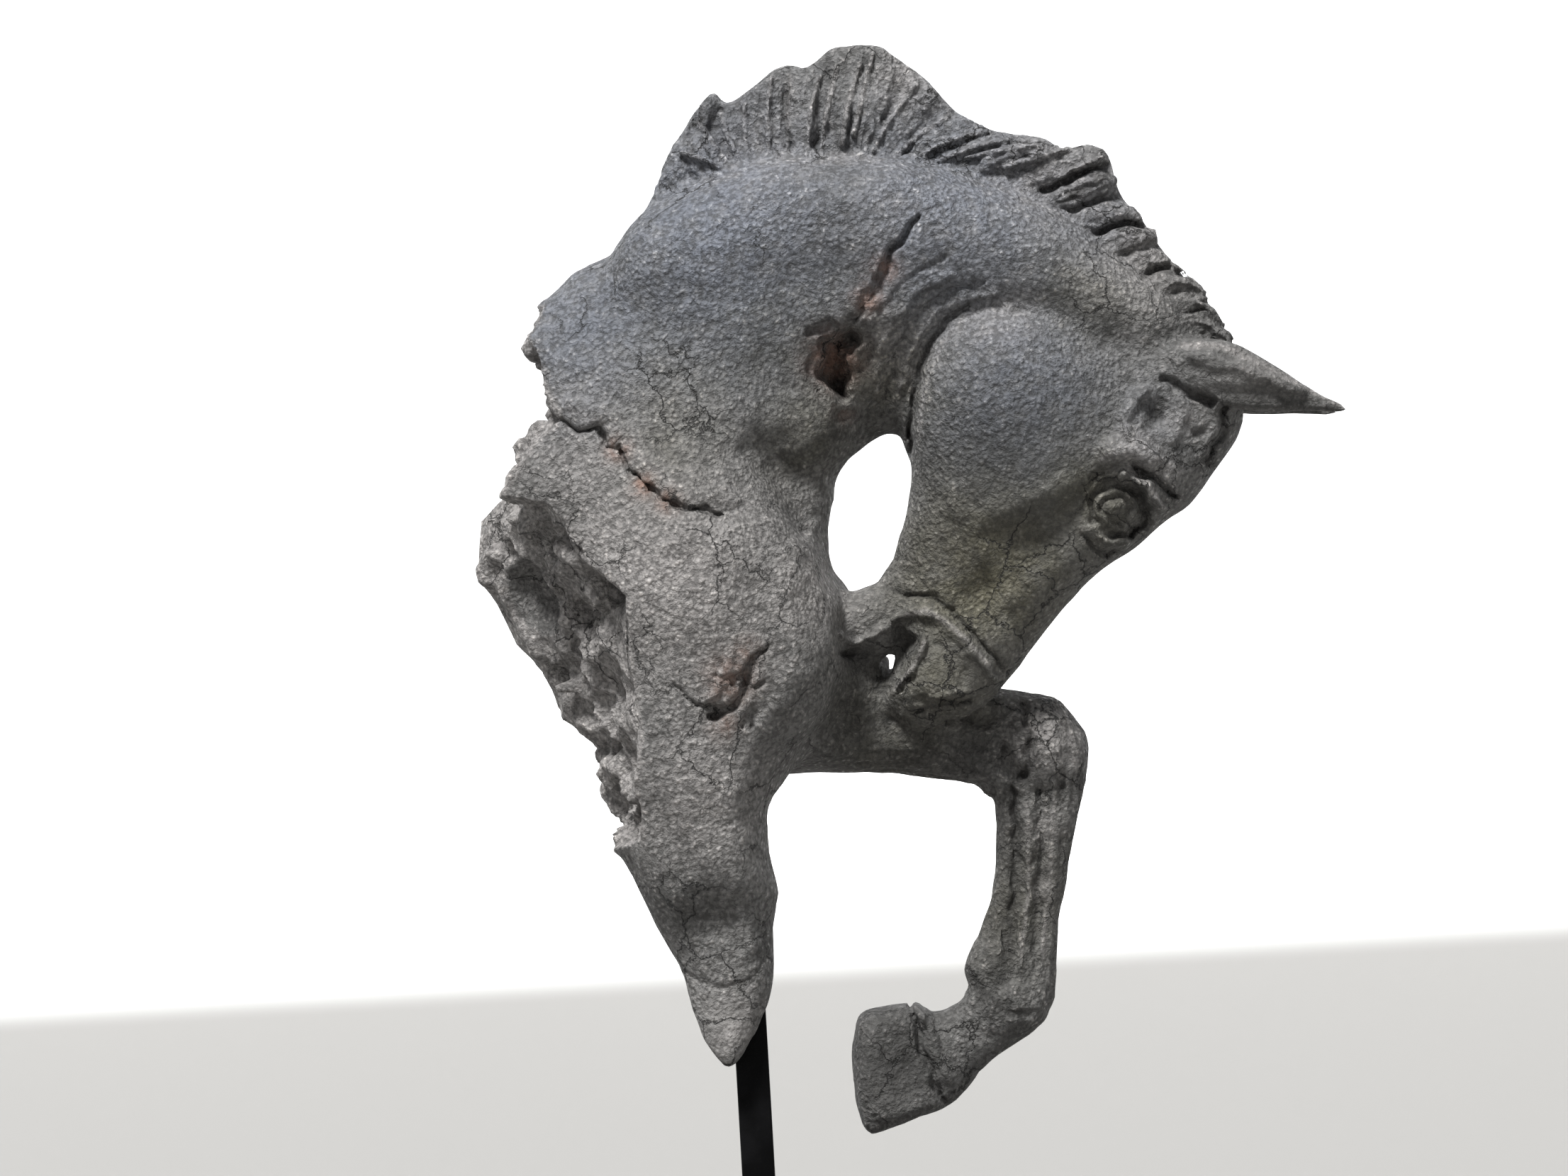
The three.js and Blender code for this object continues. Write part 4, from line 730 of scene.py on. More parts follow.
def mesh_object(name, points, faces):
    """A new mesh object from arrays of points and of faces with equal numbers of corners."""
    mesh = bpy.data.meshes.new(name)
    faces = np.asarray(faces, np.int32)
    corners = faces.shape[1]
    mesh.vertices.add(len(points))
    mesh.vertices.foreach_set("co", np.asarray(points, np.float32).ravel())
    mesh.loops.add(faces.size)
    mesh.loops.foreach_set("vertex_index", faces.ravel())
    mesh.polygons.add(len(faces))
    mesh.polygons.foreach_set("loop_start", np.arange(0, faces.size, corners, dtype=np.int32))
    mesh.update(calc_edges=True)
    mesh.validate()
    piece = bpy.data.objects.new(name, mesh)
    bpy.context.scene.collection.objects.link(piece)
    return piece


def applied(piece):
    """The piece with its modifiers made real, as a plain mesh."""
    graph = bpy.context.evaluated_depsgraph_get()
    mesh = bpy.data.meshes.new_from_object(piece.evaluated_get(graph))
    old = piece.data
    piece.modifiers.clear()
    piece.data = mesh
    bpy.data.meshes.remove(old)
    return piece


def read_rows(items, key, width, kind=np.float32):
    """One row of numbers for each of a mesh's items."""
    values = np.empty(len(items) * width, kind)
    items.foreach_get(key, values)
    return values.reshape(-1, width)


def read_mesh(mesh):
    """The points, the normals and the two point numbers of each edge."""
    return (read_rows(mesh.vertices, "co", 3).astype(float),
            read_rows(mesh.vertex_normals, "vector", 3).astype(float),
            read_rows(mesh.edges, "vertices", 2, np.int32))


def smoothed(values, edges, rounds):
    """Values averaged over the mesh's neighbours, round after round."""
    values = np.atleast_2d(values.T).T.astype(float)
    degree = np.bincount(edges.ravel(), minlength=len(values)).astype(float)
    for _ in range(rounds):
        total = np.stack([np.bincount(edges[:, 0], values[edges[:, 1], d], len(values))
                          + np.bincount(edges[:, 1], values[edges[:, 0], d], len(values))
                          for d in range(values.shape[1])], 1)
        values = 0.4 * values + 0.6 * total / np.maximum(degree, 1)[:, None]
    return values


# Keeps the numbers of the lattice cells above zero.
LATTICE_START = 1000.0


def scatter(at, seed):
    """A number from -1 to 1 for each cell of a lattice, always the same for the same cell."""
    mix = (at[:, 0] * 73856093 ^ at[:, 1] * 19349663 ^ at[:, 2] * 83492791 ^ seed * 2654435761) & 0xFFFFFFFF
    mix = (mix ^ mix >> 15) * 2246822519 & 0xFFFFFFFF
    mix = (mix ^ mix >> 13) * 3266489917 & 0xFFFFFFFF
    return (mix ^ mix >> 16) / 2147483648.0 - 1.0


def lattice_noise(points, size, seed):
    """Smooth noise from -1 to 1 with lumps of one size."""
    p = points / size + LATTICE_START
    cell = np.floor(p).astype(np.int64)
    share = p - cell
    share = share * share * (3 - 2 * share)
    total = np.zeros(len(points))
    for corner in range(8):
        offset = np.array([corner & 1, corner >> 1 & 1, corner >> 2 & 1])
        weight = np.prod(np.where(offset, share, 1 - share), axis=1)
        total += weight * scatter(cell + offset, seed)
    return total


def facets(points, size, seed):
    """Flat breaks of one size, each tilted its own way, from about -1 to 1."""
    p = points / size + LATTICE_START
    cell = np.floor(p).astype(np.int64)
    nearest = np.full(len(points), 1e9)
    height = np.zeros(len(points))
    for offset in np.ndindex(3, 3, 3):
        at = cell + np.array(offset) - 1
        spot = at + 0.5 + 0.45 * np.stack([scatter(at, seed + k) for k in range(3)], 1)
        away = p - spot
        gap = (away ** 2).sum(axis=1)
        tilt = np.stack([scatter(at, seed + k) for k in range(3, 6)], 1)
        closer = gap < nearest
        nearest = np.where(closer, gap, nearest)
        height = np.where(closer, 0.9 * (away * tilt).sum(axis=1) + 0.4 * scatter(at, seed + 6), height)
    return height


# Washes of colour over the side view: (x, z, reach, strength). The cool, olive and clay washes are tints of
# the clay; the highlight wash is painted light and the shade wash painted shade.
COOL_WASH = [(-20, 330, 50, 1.0), (60, 338, 45, 0.9), (85, 275, 32, 0.8), (-70, 300, 36, 0.8),
             (110, 335, 24, 0.5), (130, 262, 20, 0.3)]
OLIVE_WASH = [(38, 280, 20, 1.0), (10, 258, 20, 0.7), (78, 205, 36, 1.0), (112, 308, 16, 0.7),
              (-40, 262, 26, 0.5), (62, 165, 20, 0.8), (110, 235, 22, 0.8), (0, 292, 22, 0.5),
              (90, 90, 30, 0.5), (45, 150, 26, 0.6)]
# Painted highlights: paler spots on the parts that face the light, such as the shoulder, chest, crest,
# brow, jowl's top, throat folds, knee and ear's top.
HIGHLIGHT_WASH = [(-34, 200, 40, 1.0), (-70, 245, 26, 0.6), (-25, 128, 26, 0.85), (98, 146, 13, 1.0),
             (8, 200, 20, 1.0), (132, 326, 20, 0.9), (90, 352, 18, 1.0), (112, 344, 14, 0.8),
             (-10, 356, 22, 0.6), (46, 386, 11, 1.0),
             (-60, 215, 30, 0.8), (-14, 42, 14, 0.7), (98, 90, 6, 0.7), (98, 112, 6, 0.7),
             (80, 298, 14, 0.9),
             (56, 300, 9, 0.6), (129, 251, 9, 1.0), (139, 244, 6, 0.8), (146, 262, 6, 0.5),
             (42, 288, 14, 0.9), (-6, 178, 16, 0.5),
             (-28, 140, 20, 0.5), (175, 280, 10, 0.5), (52, 338, 26, 0.4)]
# Painted shade: dark spots where shade falls, under the forearm, in the leg grooves, throat and mane gaps,
# under the ear and jaw, round the eye and in the jowl's middle.
SHADE_WASH = [(30, 150, 16, 0.6), (50, 140, 15, 0.9), (70, 140, 13, 0.9), (36, 166, 7, 0.6),
             (62, 156, 14, 0.5),
             (87, 112, 5, 0.95), (86, 95, 5, 0.95), (84, 78, 5, 0.9), (81, 62, 6, 0.8), (46, 268, 4, 0.3),
             (48, 284, 4, 0.3), (152, 272, 5, 0.8), (161, 269, 5, 0.95), (171, 268, 5, 0.95),
             (181, 268, 4.5, 0.95), (190, 267.5, 4, 0.9), (198, 266.5, 3, 0.8), (120, 294, 8, 0.6),
             (46, 181, 6, 0.9), (30, 175, 6, 0.9), (92, 215, 12, 0.35), (134, 229, 5, 0.8),
             (121.8, 229.8, 7, 0.45),
             (20, 257, 7, 0.55), (34, 266, 8, 0.6), (44, 269, 5, 0.6), (113, 218, 3, 0.5),
             (20, 282, 7, 0.5), (56, 158, 8, 0.4), (78, 47, 8, 0.6),
             (82, 264, 26, 0.56), (44, 22, 26, 1.0), (176, 274, 22, 0.62), (-24, 372, 5, 0.7),
             (104, 345, 4, 0.7), (0, 262, 12, 0.2),
             (90, 132, 6, 0.6), (90, 150, 4, 0.5), (-99, 196, 8, 0.5), (-78, 158, 7, 0.4),
             (90, 90, 34, 0.62), (122, 264, 5, 0.3)]
# Spots where the painted shade of the hollows is stronger and the fine cracks come more often.
GROOVED_SPOTS = [(90, 90, 40, 1.0), (92, 142, 22, 1.0), (55, 150, 30, 0.9), (40, 170, 16, 0.7),
                 (60, 25, 22, 0.7), (140, 258, 18, 0.5)]
# Painted shade: dark lines along the grooves of the leg, knee, forearm, mouth, eye, ear, hoof, jowl and
# mane.
SHADE_LINES = [
    [(86, 128, 3), (87, 112, 5.6), (86.5, 90, 6), (84, 66, 4.8), (80, 54, 3)],
    [(94.5, 122, 1.2), (95.5, 96, 2), (93, 66, 1.8)],
    [(85, 151, 2), (91, 147, 3.6), (94, 140, 3.2), (90, 132, 5), (85, 124, 5)],
    [(22, 139, 4), (50, 135.5, 4), (74, 133, 3.4)],
    [(22, 160, 2.4), (34, 158, 4), (48, 160, 3)],
    [(22, 177.5, 2), (29, 176, 3), (36, 176, 2.4)],
    [(39.5, 166, 1.8), (43, 175, 3), (47, 183, 4), (43.5, 185, 3)],
    [(40, 201, 1), (46, 198.5, 1.3), (57, 197.5, 1.3), (66, 189.5, 1.2), (76, 178, 1.1), (82, 171, 0.9)],
    [(49, 156, 1.1), (58, 158, 1.5), (70, 160.8, 1.2)],
    [(126, 242, 1.3), (131.5, 236, 2), (134, 225, 1.8), (128, 219.5, 1.2)],
    [(130, 245, 0.9), (136, 240.5, 1.3), (143.5, 234, 1.1)],
    [(110, 220.5, 1.1), (114, 215.5, 1.5), (120, 213, 1.4)],
    [(144, 275, 3), (156, 269.5, 5), (170, 268.5, 5), (186, 267.5, 3.8), (203, 266, 2.2)],
    [(70, 60, 3), (76, 50, 5.4), (88, 44, 4)],
    [(49, 46, 1.2), (52, 32, 1.6), (57, 20, 1.5), (61, 11, 1.3)],
    [(46.5, 250, 1), (47.5, 263, 1.3), (49.5, 276, 1.5), (53.5, 288.5, 1.5), (60, 298.5, 1.3),
     (69, 304.5, 1)],
    [(104, 342, 2), (112, 347, 3), (120, 352, 2)],
    [(132, 259, 3), (137, 264, 4.5), (139, 269, 3)],
]
# Painted highlights: pale lines along the edges that catch the light, such as the jowl's rim, the crest,
# the brow, the ear's top, the knee and the leg's tendons.
HIGHLIGHT_LINES = [
    [(50.5, 256, 1.3), (52.5, 273, 1.8), (58.5, 289, 2), (68, 300, 2.2), (80, 304, 1.8)],
    [(-32, 347, 4), (-6, 356, 5), (26, 358, 4.5), (50, 352, 3)],
    [(118, 248, 4), (127, 250, 6.4), (138, 246, 4.4)],
    [(125, 244, 1.6), (133, 239, 2.4), (140, 230, 1.6)],
    [(146, 289, 1.8), (160, 289, 2.4), (186, 276.5, 2), (205, 266.8, 1.2)],
    [(101, 157, 2.4), (107.5, 148, 3), (109, 134, 2.4)],
    [(91, 122, 1), (92, 90, 1.3), (89, 64, 1.1)],
    [(101, 124, 1.4), (100, 96, 1.5), (97, 66, 1.4)],
    [(46, 191, 1.3), (53, 192.6, 1.8), (60, 189, 1.8), (68, 182, 1.5), (77, 172, 1.1)],
    [(53, 182, 1), (50, 174, 1.4), (42, 163.8, 1.1)],
    [(-76, 266, 2.4), (-60, 258, 3), (-46, 244, 3), (-34, 236, 2.4)],
    [(40, 396, 3), (50, 388, 4), (62, 377, 3)],
    [(68, 361, 4), (86, 355, 5.4), (106, 343, 4)],
    [(60, 300, 1.2), (51, 293, 1.5), (45.5, 281, 1.6), (42.5, 270, 1.3)],
    [(52, 305, 1.1), (43, 296, 1.4), (38, 283, 1.5), (35.5, 272, 1.2)],
]
CLAY_SPOTS = [(20, 284, 9, 0.8), (38, 316, 5, 0.6), (32, 305, 5, 0.6), (-18, 168, 8, 0.55),
              (-12, 178, 5, 0.4), (-58, 251, 4, 0.7), (-49, 238, 4, 0.8), (-40, 232, 4, 0.6),
              (-20, 152, 5, 0.4), (23, 264, 4, 0.3)]
# Spots where the painted shade of the hollows is weaker.
EVEN_SPOTS = [(88, 354, 12, 0.7), (128, 248, 8, 0.6), (-22, 82, 20, 0.85), (0, 250, 20, 0.8),
              (-30, 60, 10, 0.6)]
CALM_SPOTS = [(44, 24, 20, 1.0), (-18, 40, 18, 0.9), (100, 230, 40, 0.6), (62, 170, 24, 0.7),
              (30, 186, 14, 0.6), (170, 278, 30, 0.7), (92, 90, 40, 0.4)]


def wash(spots, x, z):
    """The strongest of some soft spots at each point."""
    value = np.zeros(len(x))
    for sx, sz, reach, strength in spots:
        value = np.maximum(value, strength * np.exp(-((x - sx) ** 2 + (z - sz) ** 2) / reach ** 2))
    return value


def store(mesh, name, values):
    """One number for each vertex, which the materials read by name."""
    attribute = mesh.attributes.new(name, "FLOAT", "POINT")
    attribute.data.foreach_set("value", np.asarray(values, np.float32))


class Nodes:
    """Short ways to add and join nodes in one tree."""

    def __init__(self, tree):
        self.tree = tree

    def feed(self, socket, value):
        """Joins a socket to another node's output, or sets its number."""
        if isinstance(value, bpy.types.NodeSocket):
            self.tree.links.new(value, socket)
        else:
            socket.default_value = value

    def add(self, kind, inputs=None, **settings):
        node = self.tree.nodes.new(kind)
        for key, value in settings.items():
            setattr(node, key, value)
        for key, value in (inputs or {}).items():
            self.feed(node.inputs[key], value)
        return node

    def math(self, operation, a, b=0.0, clamp=False):
        return self.add("ShaderNodeMath", {0: a, 1: b}, operation=operation, use_clamp=clamp).outputs[0]

    def times(self, a, b):
        return self.math("MULTIPLY", a, b)

    def plus(self, a, b):
        return self.math("ADD", a, b)

    def minus(self, a, b):
        return self.math("SUBTRACT", a, b)

    def mix(self, share, a, b):
        """Colour a turning into colour b."""
        return self.add("ShaderNodeMix", {0: share, 6: a, 7: b}, data_type="RGBA").outputs[2]

    def spread(self, value, low, high, to_low=0.0, to_high=1.0):
        """A smooth climb or fall between two values."""
        inputs = {0: value, 1: low, 2: high, 3: to_low, 4: to_high}
        return self.add("ShaderNodeMapRange", inputs, interpolation_type="SMOOTHSTEP").outputs[0]

    def place(self):
        """Where a point lies on its piece."""
        return self.add("ShaderNodeTexCoord").outputs["Object"]

    def noise(self, place, scale, detail, roughness=0.5, output="Fac"):
        inputs = {"Vector": place, "Scale": scale, "Detail": detail, "Roughness": roughness}
        return self.add("ShaderNodeTexNoise", inputs).outputs[output]

    def pushed(self, place, scale, detail, roughness, reach):
        """Places pushed about by a noise."""
        push = self.noise(place, scale, detail, roughness, "Color")
        push = self.add("ShaderNodeVectorMath", {0: push, 1: (reach, reach, reach)}, operation="MULTIPLY")
        return self.add("ShaderNodeVectorMath", {0: place, 1: push.outputs[0]}, operation="ADD").outputs[0]


def new_group(name, kind, inputs, outputs):
    """A node group with named sockets: its helper, what it is given and what it hands out.

    Each socket is given by its kind, or by a number where it is a plain number."""
    tree = bpy.data.node_groups.new(name, kind)
    for in_out, sockets in (("INPUT", inputs), ("OUTPUT", outputs)):
        for label, value in sockets:
            number = isinstance(value, float)
            socket = tree.interface.new_socket(
                name=label, in_out=in_out, socket_type="NodeSocket" + ("Float" if number else value))
            if number:
                socket.default_value = value
    n = Nodes(tree)
    return n, n.add("NodeGroupInput").outputs, n.add("NodeGroupOutput").inputs


def grit_group():
    """Grains standing in a fine clay: their height, a mask of their tops and one of the gaps."""
    n, given, out = new_group("clay_grit", "ShaderNodeTree", [("Grain Size", 0.0012), ("Roughness", 0.5)],
                              [("Height", 0.0), ("Tops", 0.0), ("Gaps", 0.0)])
    place = n.place()
    scale = n.math("DIVIDE", 1.0, given["Grain Size"])
    moved = n.pushed(place, n.times(scale, 0.35), 2.0, 0.5, 0.0022)
    cells = n.add("ShaderNodeTexVoronoi", {"Vector": moved, "Scale": scale, "Smoothness": 0.35},
                  feature="SMOOTH_F1")
    grain = n.spread(cells.outputs["Distance"], 0.1, 0.62, 1.0, 0.0)
    loose = n.spread(n.noise(moved, n.times(scale, 0.8), 4.0, 0.72), 0.34, 0.66)
    lumps = n.spread(n.noise(place, n.times(scale, 0.3), 2.0, 0.6), 0.3, 0.7)
    share = given["Roughness"]
    skin = n.plus(n.times(grain, n.minus(1.0, share)), n.times(loose, share))
    n.feed(out["Height"], n.plus(skin, n.times(lumps, 0.35)))
    n.feed(out["Tops"], n.spread(skin, 0.5, 0.92))
    n.feed(out["Gaps"], n.spread(skin, 0.12, 0.4, 1.0, 0.0))
    return n.tree


def crackle_group():
    """Fine branching cracks, fading in and out: a mask that is 1 in a crack."""
    n, given, out = new_group("fine_cracks", "ShaderNodeTree",
                              [("Spacing", 0.03), ("Width", 0.02), ("Amount", 0.5)], [("Crack", 0.0)])
    place = n.place()
    moved = n.pushed(place, 130.0, 4.0, 0.65, 0.012)
    density = n.math("DIVIDE", 1.0, given["Spacing"])
    cells = n.add("ShaderNodeTexVoronoi", {"Vector": moved, "Scale": density}, feature="DISTANCE_TO_EDGE")
    away = n.math("DIVIDE", cells.outputs["Distance"], given["Width"])
    line = n.math("SUBTRACT", 1.0, away, clamp=True)
    fade = n.minus(n.noise(place, 22.0, 2.0), n.minus(1.0, given["Amount"]))
    n.feed(out["Crack"], n.times(line, n.spread(fade, -0.06, 0.06)))
    return n.tree


GROUP_MAKERS = {"clay_grit": grit_group, "fine_cracks": crackle_group}


def group(name):
    """The shader node group of that name, built once."""
    return bpy.data.node_groups.get(name) or GROUP_MAKERS[name]()


def colour(value):
    return (*value, 1.0)


def new_material(name):
    """A node material, its node helper and the inputs of its surface."""
    material = bpy.data.materials.new(name)
    material.use_nodes = True
    return material, Nodes(material.node_tree), material.node_tree.nodes["Principled BSDF"].inputs


def ceramic_material(settings):
    """Dark fired clay: gritty and dry-brushed, with painted highlights on lit parts, painted shade in its
    hollows, grooves and undersides, and brown where chipped.
    """
    material, n, surface = new_material("fired_clay")
    names = ("calm", "cool", "olive", "highlight_and_torn", "ridge", "hollow", "shade_black", "clay", "crackle")
    calm, cool, olive, highlight_and_torn, ridge, hollow, shade_paint, bare, crackle = (
        n.add("ShaderNodeAttribute", attribute_name=name).outputs["Fac"] for name in names)
    dark = colour(settings.dark_clay)
    shade_black = colour(settings.shade_black)
    grit = n.add("ShaderNodeGroup", {"Grain Size": settings.grain_size, "Roughness": 0.52},
                 node_tree=group("clay_grit")).outputs
    amount = n.plus(0.48, n.times(crackle, 0.1))
    crack = n.add("ShaderNodeGroup", {"Spacing": 0.024, "Width": 0.018, "Amount": amount},
                  node_tree=group("fine_cracks")).outputs["Crack"]
    place = n.place()
    clouds = n.noise(place, 26.0, 6.0, 0.62)
    mottle = n.noise(place, 150.0, 4.0, 0.7)
    lumps = n.noise(place, 230.0, 3.0, 0.55)
    coarse = n.spread(calm, 0.0, 1.0, 1.0, 0.4)
    cool = n.times(cool, n.spread(mottle, 0.3, 0.6, 0.6, 1.0))

    base = n.mix(n.spread(clouds, 0.4, 0.6), dark, colour(settings.mid_clay))
    base = n.mix(n.times(olive, n.spread(clouds, 0.35, 0.6, 0.95, 0.6)), base, colour(settings.olive_clay))
    base = n.mix(n.times(n.spread(mottle, 0.52, 0.7), 0.2), base, dark)
    # Painted highlights: lit parts and the torn face turn to a paler tone.
    base = n.mix(n.times(highlight_and_torn, 0.72), base, colour(settings.highlight_and_torn_clay))
    base = n.mix(n.times(cool, 0.8), base, colour(settings.cool_clay))
    base = n.mix(n.times(grit["Gaps"], n.spread(calm, 0.0, 1.0, 0.5, 0.28)), base, shade_black)

    # Dry brushing on the grain tops, made heavier by painted highlights on lit parts and ridges, and
    # lighter in the painted shade of hollows.
    wear_and_highlight = n.plus(0.2, n.plus(n.times(highlight_and_torn, 0.4), n.times(ridge, 0.45)))
    brushed_and_lit = n.times(n.times(grit["Tops"], coarse), n.times(wear_and_highlight, n.spread(mottle, 0.35, 0.6, 1.0, 0.5)))
    brushed_and_lit = n.times(brushed_and_lit, n.spread(hollow, 0.0, 0.6, 1.0, 0.1))
    tops = n.mix(n.times(cool, 0.8), colour(settings.brushed_clay), colour(settings.cool_tops))
    tops = n.mix(n.times(olive, 0.7), tops, colour(settings.olive_tops))
    base = n.mix(n.math("MINIMUM", brushed_and_lit, 0.9), base, tops)

    # Painted shade: hollows, grooves, undersides and shade spots turn towards the near-black.
    shade_mask = n.math("MAXIMUM", n.times(hollow, 0.8), n.times(shade_paint, 0.85))
    base = n.mix(n.times(shade_mask, n.spread(mottle, 0.3, 0.6, 1.0, 0.8)), base, shade_black)
    chipped = n.math("MULTIPLY", bare, n.spread(mottle, 0.35, 0.6, 0.25, 1.0), clamp=True)
    base = n.mix(n.times(chipped, 0.85), base, colour(settings.bare_clay))
    base = n.mix(n.times(crack, 0.9), base, shade_black)
    n.feed(surface["Base Color"], base)
    n.feed(surface["Roughness"], n.spread(grit["Tops"], 0.0, 1.0, 0.8, 0.42))
    n.feed(surface["Specular IOR Level"], 0.45)

    relief = n.times(n.times(grit["Height"], settings.grain_depth), coarse)
    relief = n.plus(relief, n.times(n.plus(lumps, mottle), settings.grain_depth * 1.3))
    relief = n.minus(relief, n.times(crack, settings.crack_depth))
    bump = n.add("ShaderNodeBump", {"Height": relief, "Strength": 1.0, "Distance": 1.0})
    n.feed(surface["Normal"], bump.outputs["Normal"])
    return material


def steel_material(name, paint):
    """Black painted steel with a faint mill texture."""
    material, n, surface = new_material(name)
    grit = n.add("ShaderNodeGroup", {"Grain Size": 0.0011, "Roughness": 0.8}, node_tree=group("clay_grit"))
    wear_and_highlight = n.noise(n.place(), 60.0, 4.0)
    paler = tuple(c * 2.2 for c in paint)
    n.feed(surface["Base Color"], n.mix(n.spread(wear_and_highlight, 0.45, 0.7), colour(paint), colour(paler)))
    n.feed(surface["Roughness"], n.spread(wear_and_highlight, 0.3, 0.7, 0.38, 0.58))
    n.feed(surface["Metallic"], 0.0)
    n.feed(surface["Specular IOR Level"], 0.06)
    bump = n.add("ShaderNodeBump", {"Height": grit.outputs["Height"], "Strength": 0.12, "Distance": 0.0004})
    n.feed(surface["Normal"], bump.outputs["Normal"])
    return material


def steel_block_tree():
    """A Geometry Nodes tree: a rounded rectangle with rolled edges, closed above and below."""
    sizes = [(name, 0.0) for name in ("Length", "Width", "Height", "Corner", "Edge")]
    n, given, out = new_group("rolled_steel_block", "GeometryNodeTree",
                              [("Geometry", "Geometry"), *sizes, ("Place", "Vector"),
                               ("Material", "Material")],
                              [("Geometry", "Geometry")])
    edge = given["Edge"]
    twice = n.times(edge, 2.0)
    path = n.add("GeometryNodeCurvePrimitiveQuadrilateral",
                 {"Width": n.minus(given["Length"], twice), "Height": n.minus(given["Width"], twice)})
    path = n.add("GeometryNodeFilletCurve",
                 {"Curve": path.outputs[0], "Count": 5, "Limit Radius": True,
                  "Radius": n.minus(given["Corner"], edge)}, mode="POLY")
    edge_steps = 3
    last = 2 * edge_steps + 1
    line = n.add("GeometryNodeCurvePrimitiveLine", {"Start": (0, 0, 0), "End": (0, 1, 0)})
    line = n.add("GeometryNodeResampleCurve", {"Curve": line.outputs[0], "Count": last + 1}, mode="COUNT")
    number = n.add("GeometryNodeInputIndex").outputs[0]
    upper = n.math("LESS_THAN", number, last / 2)
    angle = n.times(n.math("MINIMUM", number, n.minus(last, number)), math.pi / 2 / edge_steps)
    out_by = n.times(edge, n.math("SINE", angle))
    drop = n.times(edge, n.minus(1.0, n.math("COSINE", angle)))
    half = n.times(given["Height"], 0.5)
    sign = n.minus(n.times(upper, 2.0), 1.0)
    spot = n.add("ShaderNodeCombineXYZ", {"X": out_by, "Y": n.times(n.minus(half, drop), sign)})
    profile = n.add("GeometryNodeSetPosition", {"Geometry": line.outputs[0], "Position": spot.outputs[0]})
    side = n.add("GeometryNodeCurveToMesh", {"Curve": path.outputs[0], "Profile Curve": profile.outputs[0]})
    lid = n.add("GeometryNodeFillCurve", {"Curve": path.outputs[0]}, mode="NGONS")

    def lid_at(height):
        up = n.add("ShaderNodeCombineXYZ", {"Z": height})
        return n.add("GeometryNodeTransform", {"Geometry": lid.outputs[0], "Translation": up.outputs[0]})

    under = n.add("GeometryNodeFlipFaces", {"Mesh": lid_at(n.times(half, -1.0)).outputs[0]})
    joined = n.add("GeometryNodeJoinGeometry")
    for piece in (side, lid_at(half), under):
        n.feed(joined.inputs[0], piece.outputs[0])
    closed = n.add("GeometryNodeMergeByDistance", {"Geometry": joined.outputs[0], "Distance": 1e-5})
    placed = n.add("GeometryNodeTransform", {"Geometry": closed.outputs[0], "Translation": given["Place"]})
    real = n.add("GeometryNodeRealizeInstances", {"Geometry": placed.outputs[0]})
    painted = n.add("GeometryNodeSetMaterial", {"Geometry": real.outputs[0], "Material": given["Material"]})
    n.feed(out["Geometry"], painted.outputs[0])
    return n.tree


def steel_block(name, low, high, corner, edge, material):
    """One piece of the stand, made by the tree and turned into a plain mesh."""
    tree = bpy.data.node_groups.get("rolled_steel_block") or steel_block_tree()
    piece = mesh_object(name, np.zeros((3, 3)), [[0, 1, 2]])
    modifier = piece.modifiers.new("block", "NODES")
    modifier.node_group = tree
    size = [h - l for l, h in zip(low, high)]
    values = {"Length": size[0], "Width": size[1], "Height": size[2], "Corner": corner, "Edge": edge,
              "Place": [(l + h) / 2 for l, h in zip(low, high)], "Material": material}
    for item in tree.interface.items_tree:
        if item.in_out == "INPUT" and item.name in values:
            modifier[item.identifier] = values[item.name]
    applied(piece)
    return piece


def point_outward(piece):
    """Turns a closed piece's faces outward."""
    mesh = bmesh.new()
    mesh.from_mesh(piece.data)
    bmesh.ops.recalc_face_normals(mesh, faces=mesh.faces)
    mesh.to_mesh(piece.data)
    mesh.free()


def length(name, description, value):
    """A setting for a length, in metres."""
    return bpy.props.FloatProperty(name=name, description=description, default=value, unit="LENGTH")


def tone(name, description, *value):
    """A setting for a colour."""
    return bpy.props.FloatVectorProperty(name=name, description=description, default=value, subtype="COLOR")


